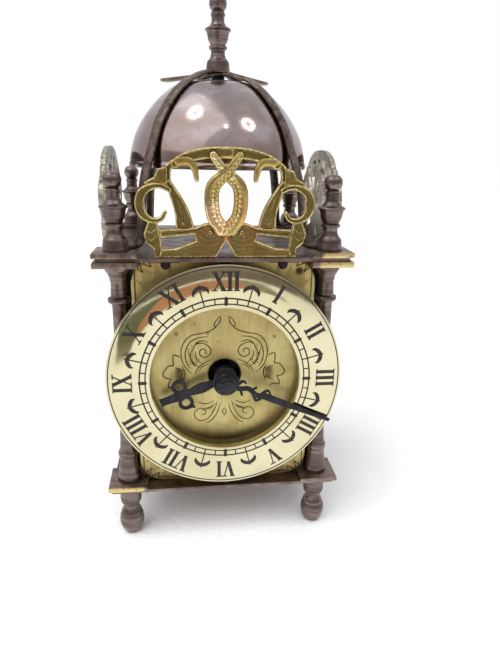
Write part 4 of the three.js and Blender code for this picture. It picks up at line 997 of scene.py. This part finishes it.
def chapter_ring():
    """The raised ring, on four short feet."""
    front, rear, c = RING_FACE, RING_FACE + 2.2, 0.3
    outside = [(RING_R - c, front), (RING_R - 0.08, front + 0.1), (RING_R, front + c), (RING_R, rear - 0.2),
               (RING_R - 0.2, rear)]
    inside = [(RING_HOLE_R + 0.2, rear), (RING_HOLE_R, rear - 0.2), (RING_HOLE_R, front + c),
              (RING_HOLE_R + 0.08, front + 0.1)]
    profile = [(RING_HOLE_R + c, front), *outside, *inside]
    verts, faces = y_lathe(profile, 180, 0.0, DIAL_Z, closed=True)
    for k in range(4):
        a = math.radians(45 + 90 * k)
        foot = [(0, rear - 0.1), (1.6, rear - 0.1), (1.6, DIAL_FACE), (0, DIAL_FACE)]
        at_x, at_z = RING_FOOT_R * math.cos(a), DIAL_Z + RING_FOOT_R * math.sin(a)
        verts, faces = joined(verts, faces, *y_lathe(foot, 24, at_x, at_z))
    piece("chapter_ring_polished", verts, faces, "ring", stands_for=("chapter_ring",),
          sharp_degrees=40)


chapter_ring()

NUMERALS = ("XII", "I", "II", "III", "IIII", "V", "VI", "VII", "VIII", "IX", "X", "XI")
NUMERAL_FOOT_R = 29.8
NUMERAL_HEIGHT = 6.2
ADVANCE = {"I": 2.15, "V": 4.3, "X": 4.4}
THICK, THIN, SERIF = 1.15, 0.42, 0.42


def numeral_strokes(text):
    """The strokes of a roman numeral as (x0, z0, x1, z1, width), its foot at z 0."""
    strokes = []
    pen = -sum(ADVANCE[letter] for letter in text) / 2
    top = NUMERAL_HEIGHT
    for letter in text:
        wide = ADVANCE[letter]
        mid = pen + wide / 2
        left, right = pen + 0.75, pen + wide - 0.75
        serifs = []
        if letter == "I":
            strokes.append((mid, 0.2, mid, top - 0.2, THICK))
            serifs = [(mid, 0), (mid, top)]
        if letter == "V":
            strokes.append((left, top - 0.2, mid + 0.1, 0.3, THICK))
            strokes.append((right, top - 0.2, mid, 0.2, THIN))
            serifs = [(left, top), (right, top)]
        if letter == "X":
            strokes.append((left, top - 0.2, right, 0.2, THICK))
            strokes.append((right, top - 0.2, left, 0.2, THIN))
            serifs = [(left, top), (right, top), (left, 0), (right, 0)]
        for x, z in serifs:
            level = z - SERIF / 2 if z > 0 else SERIF / 2
            strokes.append((x - 0.95, level, x + 0.95, level, SERIF))
        pen += wide
    return strokes


def on_dial(u, r, turns):
    """A point across and out along the hour line at a share of a turn, from the dial's centre."""
    a = 2 * math.pi * turns
    return (u * math.cos(a) + r * math.sin(a), r * math.cos(a) - u * math.sin(a))


def dial_marks():
    """Numerals, the track with its quarter marks and the anchors at the half hours, as one filling."""
    c = Canvas((-38.5, -38.5), (38.5, 38.5), 0.14)

    def bar(points, turns, widths):
        line = [(*on_dial(u, r, turns), w) for (u, r), w in zip(points, widths)]
        where = c.window(line, max(widths) + 0.3)
        c.lay(where, c.along(line, where)[0], 0.0)

    def quad(x0, z0, x1, z1, width, turns):
        length = math.hypot(x1 - x0, z1 - z0)
        ux, uz = (z1 - z0) / length * width / 2, (x0 - x1) / length * width / 2
        corners = [(x0 + ux, z0 + uz), (x1 + ux, z1 + uz), (x1 - ux, z1 - uz), (x0 - ux, z0 - uz)]
        c.fill([on_dial(x, NUMERAL_FOOT_R + z, turns) for x, z in corners])

    for hour, text in enumerate(NUMERALS):
        for stroke in numeral_strokes(text):
            quad(*stroke, hour / 12)
    track_out, track_in = 27.5, 25.7
    for radius, width in ((37.3, 0.34), (track_out, 0.5), (track_in, 0.42)):
        c.circle(radius, width)
    for quarter in range(48):
        width = 1.1 if quarter % 4 == 0 else 0.4
        bar([(0, track_in), (0, track_out)], quarter / 48, [width, width])
    for hour in range(12):
        turns = (hour + 0.5) / 12
        bar([(0, track_in), (0, 32.0)], turns, [0.42, 0.42])
        cap = smooth_line([(-2.35, 29.6, 0.25), (-2.25, 30.6, 1.0), (-1.3, 31.5, 1.35), (0, 32.0, 1.2),
                           (1.3, 31.5, 1.35), (2.25, 30.6, 1.0), (2.35, 29.6, 0.25)], 5)
        bar([(u, r) for u, r, _ in cap], turns, [w for _, _, w in cap])
        bar([(0, 32.2), (0, 33.1)], turns, [0.8, 0.1])
    verts, faces, _ = c.solid(0.0, 0.05, rounding=0.0)
    verts = placed(verts, (0.0, RING_FACE - 0.035, DIAL_Z))
    piece("chapter_markings", verts, faces, "enamel", sharp_degrees=80)


dial_marks()

# Half of the engraving inside the ring, as lines of (x, z) from the dial's centre
PLUME = [
    [(1.5, 20.2), (1.4, 18.9), (2.6, 16.9), (4.6, 15.4), (7.6, 14.5), (10.4, 14.0), (12.5, 12.6),
     (13.9, 10.0), (14.2, 7.0), (13.6, 4.2), (12.4, 2.2), (10.8, 0.6)],
    [(1.5, 20.2), (2.9, 18.6), (3.4, 17.2), (2.9, 16.8), (1.9, 17.9)],
    [(5.6, 13.4), (8.3, 13.1), (10.7, 12.0), (12.3, 9.9), (12.9, 7.3), (12.5, 4.6), (11.2, 2.4)],
    [(5.4, 11.4), (7.4, 12.0), (9.3, 11.2), (10.2, 9.4)],
    [(10.2, 9.4), (9.4, 10.8), (7.4, 11.2), (5.4, 10.2), (4.5, 8.6), (5.0, 7.0), (6.6, 6.2), (8.0, 7.0),
     (8.1, 8.5), (6.9, 9.2), (6.1, 8.4), (6.5, 7.7)],
    [(10.2, 9.4), (11.2, 7.2), (10.6, 4.4), (8.4, 2.8)],
    [(12.0, 9.6), (11.4, 6.6), (10.0, 4.2)],
    [(9.4, 8.4), (9.6, 7.0), (8.8, 5.2), (7.4, 4.0)],
    [(4.4, 5.4), (6.8, 4.2), (8.8, 2.4), (9.8, 0.4)],
    [(5.6, 3.8), (7.4, 2.9), (8.6, 1.4)],
    *[[(9.9 + 0.12 * k, 9.6 - 0.8 * k), (10.9 + 0.1 * k, 10.6 - 0.95 * k)] for k in range(8)],
    *[[(8.2 + 0.3 * k, 5.4 - 0.5 * k), (9.3 + 0.25 * k, 5.6 - 0.55 * k)] for k in range(5)],
]
FLOWER = [
    [(14.6, 6.4), (15.5, 7.0), (16.7, 7.2), (16.9, 5.2), (16.8, 3.6), (18.4, 3.4), (20.3, 0.7), (19.3, -0.8),
     (17.8, -1.2), (18.4, -2.5), (18.5, -4.1), (16.4, -3.8), (15.2, -4.8)],
    *[[(13.6, 0.4 + 0.40 * k), (15.1, 0.3 + 0.56 * k), (16.3, 0.2 + 0.66 * k)] for k in range(-4, 5)],
    [(14.2, 3.6), (13.2, 1.6), (13.2, -0.8), (14.2, -2.8)],
]
LOWER_SCROLL = [
    [(2.4, -9.8), (3.2, -12.2), (4.4, -14.6), (5.8, -16.2), (7.6, -16.9), (9.4, -16.2), (10.2, -14.4),
     (9.4, -12.8), (7.8, -12.2), (6.4, -13.0), (6.6, -14.4), (7.8, -14.6)],
    [(1.4, -10.6), (2.0, -13.0), (3.2, -15.4), (4.6, -17.0), (6.4, -18.0)],
    [(3.6, -9.6), (5.2, -10.4), (7.0, -10.6), (8.8, -9.8)],
    [(3.4, -10.8), (4.6, -12.2), (6.0, -12.4)],
    [(0.0, -12.4), (0.6, -13.6), (0.0, -15.2)],
    *[[(3.0 + 0.62 * k, -10.6 - 0.5 * k), (4.4 + 0.7 * k, -11.6 - 0.22 * k)] for k in range(6)],
]


def engraving():
    """Plumes, flowers and scrolls inside the ring, and fans in the plate's corners."""
    c = Canvas((-28.5, -38.8), (28.5, 38.2), 0.13)

    def line(points, width):
        c.stroke([(x, z, width * (0.55 if i in (0, len(points) - 1) else 1.0))
                  for i, (x, z) in enumerate(points)], per=5)

    for side in (1, -1):
        for group, width in ((PLUME, 0.40), (FLOWER, 0.44), (LOWER_SCROLL, 0.36)):
            for points in group:
                line([(side * x, z) for x, z in points], width)
        for low in (1, -1):
            # A fan: fine rays round the ring, then a row of leaf points
            for k in range(44):
                a = math.radians(20 + 0.78 * k)
                far = 42.4 + 1.3 * math.sin(k * 0.72)
                ray = [(side * r * math.sin(a), low * r * math.cos(a)) for r in (38.5, far)]
                if abs(ray[1][0]) < 27.6 and -38.3 < ray[1][1] < 37.6:
                    line(ray, 0.32)
            points = []
            for k in range(17):
                a = math.radians(19 + 2.15 * k)
                r = 42.9 if k % 2 == 0 else 46.8
                x, z = side * r * math.sin(a), low * r * math.cos(a)
                points.append((np.clip(x, -27.8, 27.8), np.clip(z, -38.4, 37.7), 0.42))
            where = c.window(points, 1.0)
            c.lay(where, c.along(points, where)[0], 0.0)
    verts, faces, _ = c.solid(0.0, 0.04, rounding=0.0)
    verts = placed(verts, (0.0, DIAL_FACE - 0.025, DIAL_Z))
    piece("dial_engraving", verts, faces, "engraving", sharp_degrees=80)


engraving()


# ---------------------------------------------------------------- hands

HOUR_BLADE = [(0, 2.8, 2.3), (0, 5.0, 2.7), (0, 8.2, 3.7), (0, 10.8, 2.9), (0, 12.8, 2.0)]
HOUR_TIP = [(-1.2, 12.2), (1.2, 12.2), (1.75, 15.4), (1.35, 19.2), (1.3, 21.6), (1.55, 22.6), (-1.55, 22.6),
            (-1.3, 21.6), (-1.35, 19.2), (-1.75, 15.4)]
HOUR_LOOP = [(0.8, 14.2, 1.4), (2.0, 13.2, 1.2), (3.7, 13.0, 1.2), (4.8, 14.2, 1.25), (4.6, 16.0, 1.2),
             (3.2, 16.9, 1.2), (1.8, 16.4, 1.2), (1.2, 15.4, 1.2)]
HOUR_SPUR = [(4.6, 13.6, 1.5), (5.6, 12.9, 0.5)]
HOUR_BORE_R = 2.75
MINUTE_STEM = [(0, 2.4, 2.4), (0.6, 4.8, 1.7), (-0.55, 7.8, 1.6), (0.6, 11.0, 1.7), (0, 14.0, 2.2)]
MINUTE_LENGTH = 38.2
MINUTE_BLADE = [(0, 13.2, 2.2), (0, 17.0, 2.3), (0, 28.0, 1.7), (0, MINUTE_LENGTH, 1.1)]
MINUTE_KNOPS = [[(-0.8, 4.0, 1.0), (-2.3, 5.0, 0.9), (-2.0, 6.2, 0.5)], [(0.9, 5.6, 0.9), (2.2, 6.6, 0.8)],
                [(0.8, 10.0, 1.0), (2.3, 11.6, 0.9), (1.6, 12.9, 0.6)], [(-0.6, 9.0, 0.8), (-1.8, 10.0, 0.7)],
                [(-0.8, 12.8, 1.0), (-2.2, 13.9, 0.9), (-1.4, 15.4, 0.5)]]


def bevel_edge(depth, *_):
    """A hand's face, falling away at its edges."""
    return 0.12 * np.sqrt(np.clip(depth / 0.5, 0, 1))


def make_hands():
    """The fretted hour hand on its boss, the barbed minute hand and the stepped nut."""
    hour_low, hour_high = box_mm("hour_hand")
    minute_low = box_mm("minute_hand")[0]
    hour = Canvas((-6.5, -4.5), (6.5, 23.5), 0.13)
    hour.stroke(HOUR_BLADE, bevel_edge)
    hour.fill(HOUR_TIP, bevel_edge)
    for side in (1, -1):
        hour.stroke([(x * side, z, w) for x, z, w in HOUR_LOOP], bevel_edge)
        hour.stroke([(x * side, z, w) for x, z, w in HOUR_SPUR], bevel_edge)
    hour.disc(0, 0, 3.7, bevel_edge)
    hour.hole(0, 0, HOUR_BORE_R)
    front = hour_low.y + 0.12
    verts, faces, _ = hour.solid(front, front + 0.5, rounding=0.12)
    boss = [(HOUR_BORE_R, front + 0.45), (3.65, front + 0.45), (3.7, front + 0.7), (3.7, hour_high.y - 0.15),
            (3.55, hour_high.y), (HOUR_BORE_R, hour_high.y)]
    verts, faces = joined(verts, faces, *y_lathe(boss, 64, 0.0, 0.0, closed=True))
    verts = placed(verts, (0, 0, DIAL_Z), turn_y=2 * math.pi * HOURS_SHOWN / 12)
    piece("hour_hand_fretted", verts, faces, "black", "hour", ("hour_hand",), 50)

    minute = Canvas((-4.0, -4.0), (4.0, 39.0), 0.13)
    minute.stroke(MINUTE_STEM, bevel_edge)
    minute.stroke(MINUTE_BLADE, bevel_edge)
    for knop in MINUTE_KNOPS:
        minute.stroke(knop, bevel_edge)
    minute.disc(0, 0, 3.2, bevel_edge)
    minute.d = np.maximum(minute.d, minute.z - MINUTE_LENGTH)
    front = minute_low.y + 0.12
    verts, faces, _ = minute.solid(front, front + 0.48, rounding=0.12)
    verts = placed(verts, (0, 0, DIAL_Z), turn_y=2 * math.pi * MINUTES_SHOWN / 60)
    piece("minute_hand_fretted", verts, faces, "black", "centre", ("minute_hand",), 50)

    seat, tip = minute_low.y - 0.01, box_mm("hand_nut")[0].y
    nut = [(0, seat), (4.0, seat, 1), (4.2, seat - 0.2), (4.2, seat - 0.75, 1), (3.75, seat - 0.9, 1),
           (3.7, seat - 1.3), (3.35, seat - 1.9, 1), (2.5, seat - 2.1, 1), (2.3, seat - 2.5), (1.5, tip + 0.08),
           (0, tip)]
    verts, faces = y_lathe(turned_profile(nut), 72, 0.0, DIAL_Z)
    piece("hand_nut_turned", verts, faces, "gloss", "centre", ("hand_nut",), 35)


make_hands()


# ---------------------------------------------------------------- screws, knob and key


def dial_screw(node):
    """A round head."""
    low, high = box_mm(node)
    x, z, head = (low.x + high.x) / 2, (low.z + high.z) / 2, low.y
    profile = [(0, DIAL_FACE), (1.45, DIAL_FACE, 1), (1.5, DIAL_FACE - 0.3), (1.25, head + 0.12),
               (0.7, head + 0.02), (0, head)]
    verts, faces = y_lathe(turned_profile(profile), 40, x, z)
    piece(f"{node}_domed", verts, faces, "black", stands_for=(node,), sharp_degrees=50)


dial_screw("dial_screw_left")
dial_screw("dial_screw_right")


def knurled_knob():
    """The setting knob, with a ribbed rim."""
    low, high = box_mm("set_knob")
    radius, ribs = (high.x - low.x) / 2, 36
    rings = [(0.0, low.y), (2.4, low.y), (radius - 0.5, low.y + 1.2), (radius, low.y + 1.7),
             (radius, high.y - 0.9), (radius - 0.5, high.y - 0.25), (radius - 1.0, high.y), (1.6, high.y),
             (1.2, high.y - 0.4), (0.0, high.y - 0.45)]
    verts, faces = y_lathe(rings, ribs * 4, 0.0, 0.0)
    shaped = []
    for x, y, z in verts:
        r = math.hypot(x, z)
        if r > radius - 0.6 and low.y + 1.5 < y < high.y - 0.6:
            notch = 1 - 0.045 * (0.5 + 0.5 * math.cos(ribs * math.atan2(z, x)))
            x, z = x * notch, z * notch
        shaped.append((x, y, z + DIAL_Z))
    piece("set_knob_knurled", shaped, faces, "brass", "centre", ("set_knob",), 40)


knurled_knob()


def butterfly_key():
    """The winding key: a pipe with a closed end and two pierced wings across it."""
    low, high = box_mm("winding_key")
    x, z = (low.x + high.x) / 2, (low.z + high.z) / 2
    pipe_rear, bore_rear, wing_front = high.y - 5.0, high.y - 7.4, high.y - 8.4
    outside = [(2.0, low.y), (2.7, low.y), (2.8, low.y + 0.15), (2.8, pipe_rear - 0.3), (2.5, pipe_rear),
               (0.0, pipe_rear)]
    bore = [(0.0, bore_rear), (2.0, bore_rear), (2.0, low.y)]
    verts, faces = joined(*y_lathe(outside, 48, x, z), *y_lathe(bore, 48, x, z))
    wings = Canvas((-12.0, -1.0), (12.0, 10.0), 0.2)
    outline = [(2.0, 0), (5.0, 0.9), (9.2, 1.2), (10.6, 2.2), (11.0, 3.8), (10.4, 6.6), (9.4, 7.9),
               (7.6, 8.4), (5.6, 8.1), (4.0, 7.2), (2.2, 6.0), (0, 5.6)]
    wings.fill([*outline, *[(-u, v) for u, v in outline[-2::-1]]])
    for side in (1, -1):
        wings.hole(side * 7.2, 4.6, 1.3)
    wing_verts, wing_faces, _ = wings.solid(-0.8, 0.8, rounding=0.25)
    turned_up = [(x + u, wing_front + v, z - thick) for u, thick, v in wing_verts]
    verts, faces = joined(verts, faces, turned_up, wing_faces)
    piece("winding_key_winged", verts, faces, "brass", "winding", ("winding_key",), 40)


butterfly_key()


# ---------------------------------------------------------------- CAD nodes that stay as they are

KEPT = {
    "sheet": ["side_panel_left", "side_panel_right", "back_panel"],
    "black": ["bell_spacer", "hour_wheel"],
    "steel": ["bell_nut", "centre_arbor", "cannon_pinion", "winding_arbor", "click", "third_arbor",
              "fourth_arbor", "escape_arbor", "pallet_lever"],
    "brass": ["movement_front_plate", "movement_rear_plate", "movement_post_left", "movement_post_right",
              "centre_wheel", "minute_wheel", "barrel", "barrel_cover", "third_wheel",
              "fourth_wheel", "escape_wheel", "balance_wheel"],
    "spring": ["mainspring", "hairspring"],
}
for finish, nodes in KEPT.items():
    for node in nodes:
        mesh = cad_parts[node].data
        mesh.materials.clear()
        mesh.materials.append(MATERIALS[finish])


# ---------------------------------------------------------------- floor, light and camera


def make_floor():
    """A sheet far wider than the view."""
    mesh = bpy.data.meshes.new("floor")
    bm = bmesh.new()
    bmesh.ops.create_grid(bm, x_segments=40, y_segments=40, size=2.4)
    bm.to_mesh(mesh)
    bm.free()
    mesh.materials.append(floor_material())
    floor = bpy.data.objects.new("floor", mesh)
    bpy.context.scene.collection.objects.link(floor)


def aimed(obj, place, target, mirrored=True):
    """Puts a light in place, facing a target, and says whether metals mirror it."""
    obj.location = Vector(place) * MM
    obj.visible_glossy = mirrored
    obj.rotation_euler = (Vector(target) * MM - obj.location).to_track_quat("-Z", "Y").to_euler()
    bpy.context.scene.collection.objects.link(obj)


def area_light(name, place, target, size_mm, power, shape="SQUARE"):
    light = bpy.data.lights.new(name, "AREA")
    light.energy = power
    light.size = size_mm * MM
    light.shape = shape
    aimed(bpy.data.objects.new(name, light), place, target)


def make_world():
    """White overhead and behind, and a dim warm room in front of the clock, for the metals to mirror."""
    world = bpy.data.worlds.new("studio")
    bpy.context.scene.world = world
    world.use_nodes = True
    tree = world.node_tree
    tree.nodes.clear()

    def add(kind, inputs=None, **settings):
        return add_node(tree, kind, inputs, **settings)

    direction = add("ShaderNodeTexCoord").outputs["Generated"]
    parts = add("ShaderNodeSeparateXYZ", {0: direction})
    front = add("ShaderNodeMapRange", {"Value": parts.outputs["Y"], "From Min": -0.75, "From Max": 0.25},
                interpolation_type="SMOOTHSTEP").outputs[0]
    height = add("ShaderNodeMapRange", {"Value": parts.outputs["Z"], "From Min": 0.05, "From Max": 0.62},
                 interpolation_type="SMOOTHSTEP").outputs[0]
    bright = add("ShaderNodeMath", {0: front, 1: height}, operation="MAXIMUM").outputs[0]
    tone = add("ShaderNodeMix", {"Factor": bright}, data_type="RGBA")
    tone.inputs[6].default_value = (0.26, 0.215, 0.19, 1)
    tone.inputs[7].default_value = (0.93, 0.93, 0.95, 1)
    room = add("ShaderNodeBackground", {"Color": tone.outputs[2], "Strength": 0.85})
    backdrop = add("ShaderNodeBackground", {"Color": (1, 1, 1, 1), "Strength": 1.0})
    seen = add("ShaderNodeLightPath").outputs["Is Camera Ray"]
    shown = add("ShaderNodeMixShader", {0: seen, 1: room.outputs[0], 2: backdrop.outputs[0]})
    add("ShaderNodeOutputWorld", {"Surface": shown.outputs[0]})


def make_camera():
    """The viewpoint solved from the clock's own proportions."""
    yaw, pitch, roll = -0.1301, -0.3263, -0.0205
    turn = Matrix.Rotation(yaw, 3, "Z") @ Matrix.Rotation(pitch, 3, "X") @ Matrix.Rotation(roll, 3, "Y")
    right, ahead, up = turn.col[0], turn.col[1], turn.col[2]
    camera = bpy.data.cameras.new("camera")
    camera.sensor_width = 36.0
    camera.lens = 28.49
    camera.clip_start = 0.005
    view = bpy.data.objects.new("camera", camera)
    bpy.context.scene.collection.objects.link(view)
    matrix = Matrix([[right[i], up[i], -ahead[i], 0.0] for i in range(3)] + [[0, 0, 0, 1]])
    matrix.translation = Vector((-12.90, -194.93, 128.82)) * MM
    view.matrix_world = matrix
    bpy.context.scene.camera = view


def sun(name, direction, strength, spread_degrees):
    """Soft light from one side, which the metals don't mirror."""
    light = bpy.data.lights.new(name, "SUN")
    light.energy = strength
    light.angle = math.radians(spread_degrees)
    aimed(bpy.data.objects.new(name, light), [-600 * c for c in direction], (0, 0, 0), mirrored=False)


def ring_light(name, place, target, radius, power, lamps=12):
    """A ring of small lamps facing the clock, for the round highlights on the bell."""
    aim = (Vector(target) - Vector(place)).normalized()
    across = aim.cross(Vector((0, 1, 0))).normalized()
    upward = aim.cross(across)
    for k in range(lamps):
        a = 2 * math.pi * k / lamps
        spot = Vector(place) + (across * math.cos(a) + upward * math.sin(a)) * radius
        area_light(f"{name}_{k}", spot, target, radius * 0.45, power / lamps, shape="DISK")


def card(name, corners, colour):
    """A coloured sheet on the table behind the camera, seen only in what the chapter ring mirrors."""
    n = Nodes(name)
    tint = n.mix(n.ramp(n.noise(40.0, 3.0), 0.35, 0.65), tuple(c * 0.6 for c in colour), colour)
    material = n.shader(tint, 0.6, n.bump(n.noise(4.0), 0.2, 0.4), metallic=0.0)
    mesh = bpy.data.meshes.new(name)
    mesh.from_pydata([(x * MM, y * MM, MM) for x, y in corners], [], [list(range(len(corners)))])
    mesh.materials.append(material)
    sheet = bpy.data.objects.new(name, mesh)
    bpy.context.scene.collection.objects.link(sheet)
    sheet.visible_camera = False


make_floor()
make_world()
sun("daylight", (0.35, 0.35, -0.9), 1.8, 55)
area_light("key", (-500, -300, 900), (0, 0, 80), 1200, 3.0)
ring_light("ring_a", (-212, -81, 648), (-8, -23, 140), 54, 0.30)
ring_light("ring_b", (279, -187, 588), (7, -25, 138), 54, 0.30)
area_light("small_lamp", (64, -305, 607), (1, -27, 137), 30, 0.03, shape="DISK")
# Colour, and corners on the table in front of the clock
CARDS = {
    "orange_sheet": ((0.50, 0.22, 0.11), [(-62, -262), (-20, -300), (25, -350), (70, -420), (110, -1300),
                                          (-190, -1300), (-92, -400)]),
    "green_sheet": ((0.10, 0.115, 0.06), [(-150, -300), (-62, -262), (-92, -400), (-190, -1300),
                                          (-700, -1300)]),
    "brown_sheet": ((0.20, 0.17, 0.12), [(-110, -222), (-54, -228), (-62, -261), (-150, -299)]),
    "grey_sheet": ((0.30, 0.28, 0.19), [(71, -420), (115, -440), (300, -1300), (111, -1300)]),
}
for sheet, (tint, outline) in CARDS.items():
    card(sheet, outline, tint)
make_camera()
bpy.context.scene.view_settings.view_transform = "Standard"
